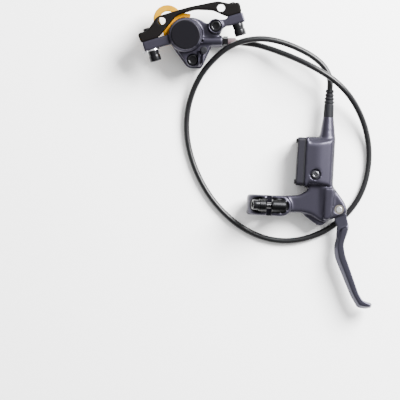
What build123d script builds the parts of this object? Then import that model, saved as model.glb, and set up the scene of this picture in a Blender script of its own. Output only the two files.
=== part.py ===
from build123d import *
from math import asin, cos, degrees, hypot, pi, radians, sin, tan
import os

os.makedirs("parts", exist_ok=True)

# Hydraulic disc brake as it lies on a table, in millimetres, +Z up, table at z = 0.
# The caliper lies on its inboard half and the lever lies on its clamp ring and reservoir.

# Layout on the table
CALIPER_X, CALIPER_Y = -59.9, 100.9
PIVOT_X, PIVOT_Y = 68.9, -45.1
MOUNT_ANGLE = 16.8
HUB_ANGLE = 140.0
LEVER_ANGLE = -3.0

# Running and seating clearances
PISTON_FIT = 0.05
THREAD_FIT = 0.05
SEAL_FIT = 0.03
PIN_FIT = 0.05
SIDE_GAP = 0.3

# Brake rotor space
ROTOR_R = 80.0
ROTOR_GAP = 0.8
ROTOR_SLOT_HALF = 1.7
HUB_DISTANCE = 68.0

# Pads and spacer, measured from the middle plane of the rotor
SPACER_THICK = 2.0
PAD_GAP = 0.4
LINING_THICK = 3.2
PLATE_THICK = 1.8
PAD_HALF_WIDTH = 10.3
PAD_HALF_HEIGHT = 10.8
LINING_INSET = 0.7
PAD_CORNER_R = 3.0
TAB_HALF_WIDTH = 4.0
TAB_REACH = 17.2
PAD_PIN_AT = 14.9
PAD_PIN_R = 1.25
PAD_PIN_CLEAR = 0.45

# Caliper pistons and cylinders
PISTON_R = 10.5
PISTON_LENGTH = 8.6
PISTON_WALL = 2.2
PISTON_NECK = 0.7
PISTON_LAND = 4.4
BORE_SPARE = 0.6
BORE_FLOOR = 2.4
CYLINDER_R = 14.3
CAP_R = 12.2
CAP_RISE = 1.0
CAP_BEVEL = 1.8
SEAL_DEPTH = 1.45
SEAL_WIDTH = 2.2
SEAL_START = 7.7

# Caliper body round its two bolts
BODY_R = 14.6
BOLT_A = (25.1, 7.3)
BOLT_B = (5.8, -20.7)
BOSS_A_R = 6.2
BOSS_B_R = 7.2
LOBE_CORNER = (11.2, -24.6)
LOBE_CORNER_R = 3.3
LOBE_TOP = 9.0
LOBE_SHELF = 6.0
BOSS_A_TOP = 15.5
RIB_SPOTS = ((11.2, -13.6), (14.6, -16.6))
RIB_END_Y = -25.4
RIB_THICK = 1.3
RIB_RISE = 3.4
GALLERY_R = 4.5
GALLERY_SINK = 3.0
M6_R = 3.0
BODY_HEAD_R = 4.6
BODY_HEAD_HEIGHT = 5.0
HEAD_SINK = 0.5
HEAD_CLEAR = 0.4
BODY_BOLT_DEPTH = 13.0
HEX_KEY_R = 2.9
HEX_KEY_DEPTH = 3.0

# Fluid ways of the caliper
CROSSOVER_X = 19.0
CROSSOVER_BOSS_R = 4.6
PORT_Y = -4.7
PORT_Z = 6.4
PORT_BOSS_R = 4.8
PORT_FACE_X = 30.8
FLUID_R = 1.1
O_RING_R = 2.6
O_RING_SECTION = 1.1
NIPPLE_AT = -19.9
NIPPLE_R = 2.3
NIPPLE_TIP_R = 1.7
NIPPLE_LENGTH = 7.5
NIPPLE_CAP_R = 3.0

# Post mount ears, bolts and adapter
POST_PITCH = 74.2
POST_MIDDLE_U = 7.2
POST_Z = 27.2
EAR_HALF_Z = 5.2
EAR_BACK_V = -3.6
EAR_FOOT_V = 4.5
EAR_END = 6.8
EAR_ROOT_U = 10.0
EAR_SWELL = 0.8
EAR_LEAN = 2.6
ARM_ROOT_U = 26.0
EAR_SLOT_R = 3.3
EAR_SLOT_SPAN = 1.4
EAR_EDGE = 0.8
WASHER_R = 4.6
WASHER_THICK = 2.5
WASHER_CUP = 0.8
POST_HEAD_R = 4.8
POST_HEAD_HEIGHT = 5.2
POST_BOLT_GRIP = 10.5
CLIP_WIRE = 1.2
CLIP_TAB = 3.2
HOLE_PITCH = 51.0
HOLE_LEFT = (-15.8, 17.0)
HOLE_TILT = -4.4
HOLE_R = 3.25

# Hose and its fittings
HOSE_R = 2.5
HOSE_FIT = 0.05
FITTING_R = 3.4
FITTING_DEPTH = 6.5
INSERT_HEAD = 1.0
OLIVE_LENGTH = 2.2
NUT_COLLAR = 1.0
CALIPER_NUT_FLAT = 4.0
CALIPER_NUT_LENGTH = 3.8
CALIPER_SLEEVE_R = 3.3
CALIPER_SLEEVE_LENGTH = 6.7
LEVER_NUT_FLAT = 3.2
LEVER_NUT_LENGTH = 3.5
BOOT_LENGTH = 23.0
BOOT_R = 4.3
BOOT_TIP_R = 3.3
BOOT_RIB_COUNT = 4

# Master cylinder, measured from the lever pivot
CYL_X = -12.8
AXIS_Z = 13.0
MASTER_R = 5.0
MASTER_OUTER_R = 6.8
MASTER_START = 7.5
MASTER_END = 62.0
NECK_R = 4.4
NECK_END = 77.0
NECK_TAPER = 7.0
PISTON_START = 20.0
MASTER_PISTON_LENGTH = 26.0
CUP_WIDTH = 2.0
CUP_DEPTH = 1.5
SECONDARY_CUP_AT = 4.0
PRIMARY_CUP_BACK = 4.5
PUSHROD_R = 2.0
PUSHROD_FLANGE_R = 4.3
PUSHROD_FLANGE = 1.6
CIRCLIP_THICK = 1.0
CIRCLIP_WIDTH = 1.8
CIRCLIP_BITE = 0.6
SPRING_R = 3.6
SPRING_WIRE_R = 0.45
SPRING_LENGTH = 9.4
SPRING_TURNS = 4
RIDGE_R = 7.8
RIDGE_END = -9.0

# Lever blade and its pivot
ARM_REST_ANGLE = 12.0
TONGUE_HALF = 2.6
SLOT_HALF = 2.9
EYE_R = 6.2
ARM_TIP_R = 3.2
ARM_TOE = 19.6
ARM_HALF_WIDTH = 2.4
GRIP_HALF = 5.0
GRIP_RIDGE = 0.42
PIVOT_R = 2.6
BUSH_WALL = 1.2
LUG_TOP = 19.4
LUG_BOTTOM = 7.0
PLATE_EDGE = 2.0
PIVOT_PROUD = 0.4
CLIP_THICK = 0.8
REACH_SCREW_X = -17.0
REACH_SCREW_R = 1.5
REACH_SCREW_LENGTH = 7.5

# Reservoir
RESERVOIR_LEFT = -30.6
RESERVOIR_BOTTOM = 17.6
RESERVOIR_TOP = 60.0
RESERVOIR_HEIGHT = 24.0
RESERVOIR_BEVEL = 5.5
RESERVOIR_FLANGE = 2.6
RESERVOIR_WALL = 3.0
RESERVOIR_DEPTH = 9.0
GASKET = 1.4
LID_THICK = 5.6
LID_INSET = 1.0
LID_CORNER_R = 3.0
LID_SCREW_R = 1.0
LID_SCREW_HEAD_R = 1.9
LID_SCREW_HEAD = 1.2
LID_SCREW_LENGTH = 10.0
BLEED_AT = (-21.5, 28.2)
BLEED_R = 2.5
BLEED_HEAD_R = 3.0
BLEED_RECESS_R = 4.6
BLEED_RECESS = 1.4
BLEED_LENGTH = 3.4

# Handlebar clamp
BAR_X, BAR_Y = -62.2, 0.4
BAR_R = 11.1
RING_R = 15.6
RING_WIDTH = 17.4
RING_EDGE = 2.4
SLIT = 3.8
SLIT_SHIFT = 3.2
CLAMP_TILT = 13.0
CLAMP_BOLT_R = 2.5
CLAMP_BOLT_OUT = 14.8
CLAMP_BOSS_R = 5.2
CLAMP_BOSS_LEFT = 9.0
CLAMP_BOSS_RIGHT = 14.0
CLAMP_HEAD_R = 4.3
CLAMP_HEAD_HEIGHT = 4.6
CLAMP_WASHER = 0.8
POCKET_WIDTH = 12.8
POCKET_LENGTH = 33.0
POCKET_FLOOR = 12.7
POCKET_RIM = 1.6

# Levels that follow from the sizes above
PAD_FACE = SPACER_THICK / 2 + PAD_GAP
PLATE_FRONT = PAD_FACE + LINING_THICK
PLATE_BACK = PLATE_FRONT + PLATE_THICK
BORE_END = PLATE_BACK + PISTON_LENGTH + BORE_SPARE
HALF_DEPTH = BORE_END + BORE_FLOOR
PARTING_Z = HALF_DEPTH
BORE_R = PISTON_R + PISTON_FIT
POCKET_DEPTH = PLATE_BACK + SIDE_GAP
LEFT_POST_U = POST_MIDDLE_U - POST_PITCH / 2
RIGHT_POST_U = POST_MIDDLE_U + POST_PITCH / 2

CALIPER = Plane(origin=(CALIPER_X, CALIPER_Y, 0))
MOUNT = Plane(
    origin=(CALIPER_X, CALIPER_Y, 0),
    x_dir=(cos(radians(MOUNT_ANGLE)), sin(radians(MOUNT_ANGLE)), 0),
    z_dir=(0, 0, 1),
)
HUB = Plane(
    origin=(CALIPER_X, CALIPER_Y, 0),
    x_dir=(cos(radians(HUB_ANGLE)), sin(radians(HUB_ANGLE)), 0),
    z_dir=(0, 0, 1),
)
LEVER = Plane(
    origin=(PIVOT_X, PIVOT_Y, 0),
    x_dir=(cos(radians(LEVER_ANGLE)), sin(radians(LEVER_ANGLE)), 0),
    z_dir=(0, 0, 1),
)


def looking(frame, at, out, across):
    """Plane at a point of a frame that looks out along one of its directions, x axis across."""
    out_dir = frame.from_local_coords(Vector(*out)) - frame.origin
    across_dir = frame.from_local_coords(Vector(*across)) - frame.origin
    return Plane(origin=frame.from_local_coords(Vector(*at)), x_dir=across_dir, z_dir=out_dir)


def corner_radii(points, share, closed):
    """Arc radius at each corner: a share of its shorter run over the tangent of half its turn."""
    corners = [Vector(*point) for point in points]
    count = len(corners)
    radii = []
    for i in range(count) if closed else range(1, count - 1):
        before = corners[i] - corners[i - 1]
        after = corners[(i + 1) % count] - corners[i]
        turn = radians(before.get_angle(after))
        radii.append(share * min(before.length, after.length) / tan(turn / 2))
    return radii


def soft_face(points, share):
    """Face inside a closed outline whose corners are arcs as large as their share allows."""
    with BuildLine() as outline:
        FilletPolyline(*points, radius=corner_radii(points, share, True), close=True)
    make_face(outline.edges())


def disc(plane, radius, start, end, mode=Mode.ADD):
    """Round stretch along a plane's normal between two heights."""
    with BuildSketch(plane.offset(start)) as section:
        Circle(radius)
    extrude(section.sketch, amount=end - start, mode=mode)


def hexagon(plane, flat_radius, start, end, mode=Mode.ADD):
    """Hexagonal stretch along a plane's normal between two heights."""
    with BuildSketch(plane.offset(start)) as section:
        RegularPolygon(flat_radius, 6, major_radius=False)
    extrude(section.sketch, amount=end - start, mode=mode)


def ring_piece(plane, outer, inner, start, end):
    """Plain ring or sleeve along a plane's normal."""
    with BuildPart() as ring:
        disc(plane, outer, start, end)
        disc(plane, inner, start, end, Mode.SUBTRACT)
    return ring


UP = (0, 0, 1)
BOLT_A_PLANE = looking(CALIPER, (*BOLT_A, 0), UP, (1, 0, 0))
BOLT_B_PLANE = looking(CALIPER, (*BOLT_B, 0), UP, (1, 0, 0))
PORT_PLANE = looking(CALIPER, (0, PORT_Y, PORT_Z), (1, 0, 0), (0, 1, 0))
GALLERY_Z = PARTING_Z + LOBE_TOP - GALLERY_SINK
GALLERY_PLANE = looking(CALIPER, (0, PORT_Y, GALLERY_Z), (1, 0, 0), (0, 1, 0))
PIN_PLANE = looking(HUB, (-PAD_PIN_AT, 0, 0), UP, (1, 0, 0))
NIPPLE_PLANE = looking(HUB, (NIPPLE_AT, 0, 0), UP, (1, 0, 0))
POST_PLANES = [
    looking(MOUNT, (u, 0, POST_Z), (0, 1, 0), (1, 0, 0)) for u in (LEFT_POST_U, RIGHT_POST_U)
]


# Caliper

LOBE_CIRCLES = [
    ((0, 0), BODY_R),
    (BOLT_B, BOSS_B_R),
    (LOBE_CORNER, LOBE_CORNER_R),
    ((CROSSOVER_X, PORT_Y), CROSSOVER_BOSS_R),
]
WEB_TO_BOLT_A = [
    (0, 0),
    (1.0, BODY_R),
    (7.7, BODY_R),
    (13.4, 12.4),
    (16.9, 10.0),
    (BOLT_A[0], BOLT_A[1] + BOSS_A_R - 4.0),
    (BOLT_A[0] + BOSS_A_R, BOLT_A[1] - 1.5),
    (BOLT_A[0] + 3.4, 0),
    (CROSSOVER_X, PORT_Y),
]


def caliper_outline(inset):
    """Outline of a caliper half: a lobe round the cylinder and the lower bolt, and a web out to
    the boss of the upper bolt."""
    for centre, radius in LOBE_CIRCLES:
        with Locations(centre):
            Circle(radius - inset)
    make_hull()
    soft_face(WEB_TO_BOLT_A, 0.25)
    with Locations(BOLT_A):
        Circle(BOSS_A_R - inset)


def caliper_cuts(side):
    """Everything cut from either half, side is +1 outboard and -1 inboard."""
    face = CALIPER.offset(PARTING_Z)
    hub_face = HUB.offset(PARTING_Z)
    disc(face, BORE_R, 0, side * BORE_END, Mode.SUBTRACT)
    disc(face, BORE_R + SEAL_DEPTH, side * SEAL_START, side * (SEAL_START + SEAL_WIDTH), Mode.SUBTRACT)
    with BuildSketch(hub_face) as rotor:
        with Locations((HUB_DISTANCE, 0)):
            Circle(ROTOR_R + ROTOR_GAP)
    extrude(rotor.sketch, amount=side * ROTOR_SLOT_HALF, mode=Mode.SUBTRACT)
    with BuildSketch(hub_face) as pocket:
        with Locations((-PAD_HALF_HEIGHT - SIDE_GAP, 0)):
            Rectangle(
                BODY_R + PAD_HALF_HEIGHT + 2 * SIDE_GAP + BOSS_A_R,
                2 * (PAD_HALF_WIDTH + SIDE_GAP),
                align=(Align.MIN, Align.CENTER),
            )
        with Locations((-TAB_REACH - SIDE_GAP, 0)):
            Rectangle(
                TAB_REACH,
                2 * (TAB_HALF_WIDTH + SIDE_GAP),
                align=(Align.MIN, Align.CENTER),
            )
    extrude(pocket.sketch, amount=side * POCKET_DEPTH, mode=Mode.SUBTRACT)
    for plane in (BOLT_A_PLANE, BOLT_B_PLANE):
        disc(plane, M6_R + THREAD_FIT, PARTING_Z, PARTING_Z + side * BODY_BOLT_DEPTH, Mode.SUBTRACT)
    slant = (BORE_R - CROSSOVER_X, 0, side * (BORE_END - FLUID_R))
    way = looking(CALIPER, (CROSSOVER_X, PORT_Y, PARTING_Z), slant, (0, 1, 0))
    disc(way, FLUID_R, -FLUID_R, hypot(slant[0], slant[2]), Mode.SUBTRACT)


LEFT_EAR = [
    (LEFT_POST_U - EAR_END, EAR_FOOT_V),
    (LEFT_POST_U - EAR_END, EAR_BACK_V),
    (LEFT_POST_U + EAR_END + EAR_LEAN, EAR_BACK_V),
    (-EAR_ROOT_U, EAR_BACK_V - EAR_SWELL),
    (-EAR_ROOT_U, EAR_FOOT_V),
]
RIGHT_EAR = [
    (RIGHT_POST_U + EAR_END, EAR_FOOT_V),
    (RIGHT_POST_U - EAR_END, EAR_FOOT_V),
    (RIGHT_POST_U - EAR_END - EAR_LEAN, EAR_BACK_V + EAR_SWELL),
    (RIGHT_POST_U - EAR_END, EAR_BACK_V),
    (RIGHT_POST_U + EAR_END, EAR_BACK_V),
]
RIGHT_ARM = [
    (RIGHT_POST_U, EAR_FOOT_V - EAR_SWELL),
    (RIGHT_POST_U, EAR_BACK_V + EAR_SWELL),
    (RIGHT_POST_U - EAR_END - EAR_LEAN, EAR_BACK_V + EAR_SWELL),
    (ARM_ROOT_U, -BOSS_A_R),
    (ARM_ROOT_U, BOSS_A_R - EAR_SWELL),
    (RIGHT_POST_U - EAR_END - EAR_LEAN, EAR_FOOT_V - 2 * EAR_SWELL),
]
with BuildPart() as caliper_outer_half:
    with BuildSketch(MOUNT.offset(POST_Z - EAR_HALF_Z)):
        soft_face(LEFT_EAR, 0.12)
        soft_face(RIGHT_EAR, 0.12)
        soft_face(RIGHT_ARM, 0.2)
    extrude(amount=2 * EAR_HALF_Z)
    ear_tops = caliper_outer_half.faces().filter_by(Axis.Z).group_by(Axis.Z)[-1]
    fillet([edge for face in ear_tops for edge in face.edges()], radius=EAR_EDGE)
    with BuildSketch(CALIPER.offset(PARTING_Z)):
        caliper_outline(0)
    extrude(amount=LOBE_SHELF)
    with BuildSketch(CALIPER.offset(PARTING_Z + LOBE_SHELF)):
        caliper_outline(1.6)
    extrude(amount=LOBE_TOP - LOBE_SHELF)
    disc(CALIPER, CYLINDER_R, PARTING_Z, PARTING_Z + HALF_DEPTH)
    chamfer(
        caliper_outer_half.faces().sort_by(Axis.Z)[-1].edges(),
        length=CAP_BEVEL,
    )
    disc(CALIPER, CAP_R, PARTING_Z + HALF_DEPTH, PARTING_Z + HALF_DEPTH + CAP_RISE)
    fillet(caliper_outer_half.faces().sort_by(Axis.Z)[-1].edges(), radius=CAP_RISE * 0.6)
    disc(BOLT_A_PLANE, BOSS_A_R, PARTING_Z, PARTING_Z + BOSS_A_TOP)
    with BuildSketch(CALIPER.offset(PARTING_Z + LOBE_TOP)):
        for x, y in RIB_SPOTS:
            with Locations((x, (y + RIB_END_Y) / 2)):
                Rectangle(RIB_THICK, y - RIB_END_Y)
    extrude(amount=RIB_RISE)
    disc(GALLERY_PLANE, GALLERY_R, CYLINDER_R / 2, PORT_FACE_X)
    caliper_cuts(1)
    for plane, top in ((BOLT_A_PLANE, BOSS_A_TOP), (BOLT_B_PLANE, LOBE_TOP)):
        sink = PARTING_Z + top - HEAD_SINK - BODY_HEAD_HEIGHT
        disc(plane, BODY_HEAD_R + HEAD_CLEAR, sink, PARTING_Z + top + RIB_RISE, Mode.SUBTRACT)
        disc(plane, M6_R + THREAD_FIT, PARTING_Z, sink, Mode.SUBTRACT)
    for plane in POST_PLANES:
        with BuildSketch(plane.offset(EAR_BACK_V)):
            SlotCenterToCenter(EAR_SLOT_SPAN, 2 * EAR_SLOT_R, rotation=90)
        extrude(amount=EAR_FOOT_V - EAR_BACK_V, mode=Mode.SUBTRACT)
    disc(NIPPLE_PLANE, NIPPLE_R, PARTING_Z + LOBE_TOP - 5, PARTING_Z + LOBE_TOP, Mode.SUBTRACT)
    disc(PIN_PLANE, PAD_PIN_R + PIN_FIT, PARTING_Z, PARTING_Z + POCKET_DEPTH + 1.5, Mode.SUBTRACT)
caliper_outer_half.part.label = "caliper_outer_half"
export_step(caliper_outer_half.part, "parts/caliper_outer_half.step")

with BuildPart() as caliper_inner_half:
    with BuildSketch(CALIPER):
        caliper_outline(0.8)
    extrude(amount=PARTING_Z)
    disc(PORT_PLANE, PORT_BOSS_R, 0, PORT_FACE_X)
    caliper_cuts(-1)
    disc(PORT_PLANE, FITTING_R + THREAD_FIT, PORT_FACE_X - FITTING_DEPTH, PORT_FACE_X, Mode.SUBTRACT)
    disc(PORT_PLANE, FLUID_R, BORE_R - 2, PORT_FACE_X - FITTING_DEPTH, Mode.SUBTRACT)
    with BuildSketch(CALIPER.offset(PARTING_Z)):
        with Locations((CROSSOVER_X, PORT_Y)):
            Circle(O_RING_R + O_RING_SECTION / 2)
    extrude(amount=-O_RING_SECTION, mode=Mode.SUBTRACT)
    disc(PIN_PLANE, PAD_PIN_R + PIN_FIT, 0, PARTING_Z, Mode.SUBTRACT)
caliper_inner_half.part.label = "caliper_inner_half"
export_step(caliper_inner_half.part, "parts/caliper_inner_half.step")


def piston(side):
    """Cup shaped piston, open towards its pad, with a turned down back end."""
    front = PARTING_Z + side * PLATE_BACK
    back = front + side * PISTON_LENGTH
    with BuildPart() as cup:
        disc(CALIPER, PISTON_R, front, front + side * PISTON_LAND)
        disc(CALIPER, PISTON_R - PISTON_NECK, front, back)
        disc(CALIPER, PISTON_R - PISTON_WALL, front, back - side * PISTON_WALL, Mode.SUBTRACT)
    return cup


outer_piston = piston(1)
outer_piston.part.label = "outer_piston"
export_step(outer_piston.part, "parts/outer_piston.step")
inner_piston = piston(-1)
inner_piston.part.label = "inner_piston"
export_step(inner_piston.part, "parts/inner_piston.step")


def piston_seal(side):
    """Square section rubber ring in the groove round a piston."""
    near = PARTING_Z + side * (SEAL_START + SEAL_FIT)
    far = PARTING_Z + side * (SEAL_START + SEAL_WIDTH - SEAL_FIT)
    return ring_piece(CALIPER, BORE_R + SEAL_DEPTH - SEAL_FIT, PISTON_R + SEAL_FIT, near, far)


outer_piston_seal = piston_seal(1)
outer_piston_seal.part.label = "outer_piston_seal"
export_step(outer_piston_seal.part, "parts/outer_piston_seal.step")
inner_piston_seal = piston_seal(-1)
inner_piston_seal.part.label = "inner_piston_seal"
export_step(inner_piston_seal.part, "parts/inner_piston_seal.step")


def pad_plate(side):
    """Steel backing plate with its tab and the hole for the pad pin."""
    with BuildPart() as plate:
        with BuildSketch(HUB.offset(PARTING_Z + side * PLATE_FRONT)):
            RectangleRounded(2 * PAD_HALF_HEIGHT, 2 * PAD_HALF_WIDTH, PAD_CORNER_R)
            with Locations((-TAB_REACH / 2 - TAB_HALF_WIDTH, 0)):
                RectangleRounded(TAB_REACH - 2 * TAB_HALF_WIDTH, 2 * TAB_HALF_WIDTH, 2.0)
            with Locations((-PAD_PIN_AT, 0)):
                Circle(PAD_PIN_R + PAD_PIN_CLEAR, mode=Mode.SUBTRACT)
        extrude(amount=side * PLATE_THICK)
    return plate


def pad_lining(side):
    """Friction block bonded to its plate, with a groove across its face."""
    with BuildPart() as lining:
        with BuildSketch(HUB.offset(PARTING_Z + side * PAD_FACE)):
            RectangleRounded(
                2 * (PAD_HALF_HEIGHT - LINING_INSET),
                2 * (PAD_HALF_WIDTH - LINING_INSET),
                PAD_CORNER_R,
            )
        extrude(amount=side * LINING_THICK)
        with BuildSketch(HUB.offset(PARTING_Z + side * PAD_FACE)):
            Rectangle(2 * PAD_HALF_HEIGHT, 1.4)
        extrude(amount=side * LINING_THICK * 0.6, mode=Mode.SUBTRACT)
    return lining


outer_pad_plate = pad_plate(1)
outer_pad_plate.part.label = "outer_pad_plate"
export_step(outer_pad_plate.part, "parts/outer_pad_plate.step")
inner_pad_plate = pad_plate(-1)
inner_pad_plate.part.label = "inner_pad_plate"
export_step(inner_pad_plate.part, "parts/inner_pad_plate.step")
outer_pad_lining = pad_lining(1)
outer_pad_lining.part.label = "outer_pad_lining"
export_step(outer_pad_lining.part, "parts/outer_pad_lining.step")
inner_pad_lining = pad_lining(-1)
inner_pad_lining.part.label = "inner_pad_lining"
export_step(inner_pad_lining.part, "parts/inner_pad_lining.step")

# Leaf spring folded round the pad pin, its legs between the two plates
PAD_SPRING_THICK = 0.4
PAD_SPRING_LEG = PLATE_FRONT - 0.9
PAD_SPRING_TOE = -11.6
with BuildPart() as pad_spring:
    with BuildSketch(looking(HUB, (0, -TAB_HALF_WIDTH + 0.5, PARTING_Z), (0, 1, 0), (1, 0, 0))):
        with BuildLine():
            Polyline(
                (PAD_SPRING_TOE, PAD_SPRING_LEG),
                (-TAB_REACH + 0.3, PAD_SPRING_LEG),
                (-TAB_REACH + 0.3, -PAD_SPRING_LEG),
                (PAD_SPRING_TOE, -PAD_SPRING_LEG),
                (PAD_SPRING_TOE, -PAD_SPRING_LEG + PAD_SPRING_THICK),
                (-TAB_REACH + 0.3 + PAD_SPRING_THICK, -PAD_SPRING_LEG + PAD_SPRING_THICK),
                (-TAB_REACH + 0.3 + PAD_SPRING_THICK, PAD_SPRING_LEG - PAD_SPRING_THICK),
                (PAD_SPRING_TOE, PAD_SPRING_LEG - PAD_SPRING_THICK),
                close=True,
            )
        make_face()
    extrude(amount=2 * TAB_HALF_WIDTH - 1.0)
    disc(PIN_PLANE, PAD_PIN_R + PIN_FIT, 0, 2 * PARTING_Z, Mode.SUBTRACT)
pad_spring.part.label = "pad_spring"
export_step(pad_spring.part, "parts/pad_spring.step")

with BuildPart() as pad_pin:
    disc(PIN_PLANE, PAD_PIN_R, 1.0, PARTING_Z + POCKET_DEPTH + 1.4)
pad_pin.part.label = "pad_pin"
export_step(pad_pin.part, "parts/pad_pin.step")

with BuildPart() as caliper_body_bolts:
    for plane, top in ((BOLT_A_PLANE, BOSS_A_TOP), (BOLT_B_PLANE, LOBE_TOP)):
        seat = PARTING_Z + top - HEAD_SINK - BODY_HEAD_HEIGHT
        disc(plane, BODY_HEAD_R, seat, seat + BODY_HEAD_HEIGHT)
        disc(plane, M6_R, PARTING_Z - BODY_BOLT_DEPTH + 1.0, seat)
        crown = seat + BODY_HEAD_HEIGHT
        hexagon(plane, HEX_KEY_R * 0.86, crown - HEX_KEY_DEPTH, crown, Mode.SUBTRACT)
caliper_body_bolts.part.label = "caliper_body_bolts"
export_step(caliper_body_bolts.part, "parts/caliper_body_bolts.step")

with BuildPart() as crossover_o_ring:
    o_ring_plane = looking(CALIPER, (CROSSOVER_X, PORT_Y, PARTING_Z), (0, -1, 0), (1, 0, 0))
    with BuildSketch(o_ring_plane):
        with Locations((O_RING_R - O_RING_SECTION / 2, -O_RING_SECTION / 2)):
            Circle(O_RING_SECTION / 2)
    revolve(axis=Axis(o_ring_plane.origin, UP))
crossover_o_ring.part.label = "crossover_o_ring"
export_step(crossover_o_ring.part, "parts/crossover_o_ring.step")

NIPPLE_FOOT = PARTING_Z + LOBE_TOP
with BuildPart() as bleed_nipple:
    disc(NIPPLE_PLANE, NIPPLE_R - THREAD_FIT, NIPPLE_FOOT - 4.8, NIPPLE_FOOT)
    hexagon(NIPPLE_PLANE, NIPPLE_R + 0.2, NIPPLE_FOOT, NIPPLE_FOOT + 2.4)
    disc(NIPPLE_PLANE, NIPPLE_TIP_R, NIPPLE_FOOT + 2.4, NIPPLE_FOOT + NIPPLE_LENGTH)
    disc(NIPPLE_PLANE, 0.6, NIPPLE_FOOT + 1.0, NIPPLE_FOOT + NIPPLE_LENGTH, Mode.SUBTRACT)
bleed_nipple.part.label = "bleed_nipple"
export_step(bleed_nipple.part, "parts/bleed_nipple.step")

with BuildPart() as bleed_nipple_cap:
    disc(NIPPLE_PLANE, NIPPLE_CAP_R, NIPPLE_FOOT + 2.4, NIPPLE_FOOT + NIPPLE_LENGTH + 1.4)
    fillet(bleed_nipple_cap.faces().sort_by(Axis.Z)[-1].edges(), radius=1.0)
    disc(
        NIPPLE_PLANE, NIPPLE_TIP_R, NIPPLE_FOOT + 2.4, NIPPLE_FOOT + NIPPLE_LENGTH, Mode.SUBTRACT
    )
bleed_nipple_cap.part.label = "bleed_nipple_cap"
export_step(bleed_nipple_cap.part, "parts/bleed_nipple_cap.step")


# Adapter between the frame's two holes and the caliper's ears

ADAPTER_OUTLINE = [
    (-37.6, EAR_FOOT_V),
    (-38.2, 12.6),
    (-29.6, 12.6),
    (-18.5, 21.7),
    (8.0, 21.7),
    (34.0, 19.3),
    (42.6, 14.6),
    (51.0, 13.2),
    (50.6, EAR_FOOT_V),
    (37.6, EAR_FOOT_V),
    (28.0, 13.0),
    (14.0, 17.9),
    (-2.5, 17.9),
    (-22.5, EAR_FOOT_V),
]
HOLES = [
    HOLE_LEFT,
    (
        HOLE_LEFT[0] + HOLE_PITCH * cos(radians(HOLE_TILT)),
        HOLE_LEFT[1] + HOLE_PITCH * sin(radians(HOLE_TILT)),
    ),
]
with BuildPart() as mount_adapter:
    with BuildSketch(MOUNT.offset(POST_Z - EAR_HALF_Z)):
        soft_face(ADAPTER_OUTLINE, 0.22)
    extrude(amount=2 * EAR_HALF_Z)
    fillet(mount_adapter.faces().sort_by(Axis.Z)[-1].edges(), radius=EAR_EDGE)
    for u, v in HOLES:
        hole = looking(MOUNT, (u, v, POST_Z), UP, (1, 0, 0))
        disc(hole, HOLE_R, -EAR_HALF_Z, EAR_HALF_Z, Mode.SUBTRACT)
    for plane in POST_PLANES:
        disc(plane, M6_R + THREAD_FIT, EAR_FOOT_V, EAR_FOOT_V + POST_BOLT_GRIP + 1, Mode.SUBTRACT)
mount_adapter.part.label = "mount_adapter"
export_step(mount_adapter.part, "parts/mount_adapter.step")

HEAD_SEAT_V = EAR_BACK_V - 2 * WASHER_THICK
with BuildPart() as post_mount_bolts:
    for plane in POST_PLANES:
        disc(plane, M6_R, HEAD_SEAT_V, EAR_FOOT_V + POST_BOLT_GRIP)
        disc(plane, POST_HEAD_R, HEAD_SEAT_V - POST_HEAD_HEIGHT, HEAD_SEAT_V)
        crown = HEAD_SEAT_V - POST_HEAD_HEIGHT
        hexagon(plane, HEX_KEY_R * 0.86, crown, crown + HEX_KEY_DEPTH, Mode.SUBTRACT)
post_mount_bolts.part.label = "post_mount_bolts"
export_step(post_mount_bolts.part, "parts/post_mount_bolts.step")


WASHER_EYE_R = M6_R + SIDE_GAP
DOMED_WASHER = [
    (WASHER_EYE_R, EAR_BACK_V),
    (WASHER_R, EAR_BACK_V),
    (WASHER_R, EAR_BACK_V - WASHER_THICK + WASHER_CUP),
    (WASHER_EYE_R, EAR_BACK_V - WASHER_THICK - WASHER_CUP),
]
DISHED_WASHER = [
    (WASHER_EYE_R, HEAD_SEAT_V),
    (WASHER_R - 0.4, HEAD_SEAT_V),
    (WASHER_R, EAR_BACK_V - WASHER_THICK + WASHER_CUP),
    (WASHER_EYE_R, EAR_BACK_V - WASHER_THICK - WASHER_CUP),
]


def washers(section):
    """The same turned washer on both post mount bolts."""
    with BuildPart() as pair:
        for u in (LEFT_POST_U, RIGHT_POST_U):
            side_plane = looking(MOUNT, (u, 0, POST_Z), UP, (1, 0, 0))
            with BuildSketch(side_plane) as half:
                with BuildLine():
                    Polyline(*section, close=True)
                make_face()
            revolve(half.sketch, axis=Axis(side_plane.origin, side_plane.y_dir))
    return pair


domed_washers = washers(DOMED_WASHER)
domed_washers.part.label = "domed_washers"
export_step(domed_washers.part, "parts/domed_washers.step")
dished_washers = washers(DISHED_WASHER)
dished_washers.part.label = "dished_washers"
export_step(dished_washers.part, "parts/dished_washers.step")

# Flat clip that keeps the left bolt from turning: a loop round the washers with a bent tab
CLIP_R = WASHER_R + PIN_FIT
with BuildPart() as bolt_lock_clip:
    with BuildSketch(POST_PLANES[0].offset(EAR_BACK_V - CLIP_WIRE)):
        Circle(CLIP_R + CLIP_WIRE)
        with Locations((-CLIP_R - CLIP_TAB / 2, 0)):
            Rectangle(CLIP_TAB, CLIP_TAB)
        Circle(CLIP_R, mode=Mode.SUBTRACT)
    extrude(amount=CLIP_WIRE)
bolt_lock_clip.part.label = "bolt_lock_clip"
export_step(bolt_lock_clip.part, "parts/bolt_lock_clip.step")

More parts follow.
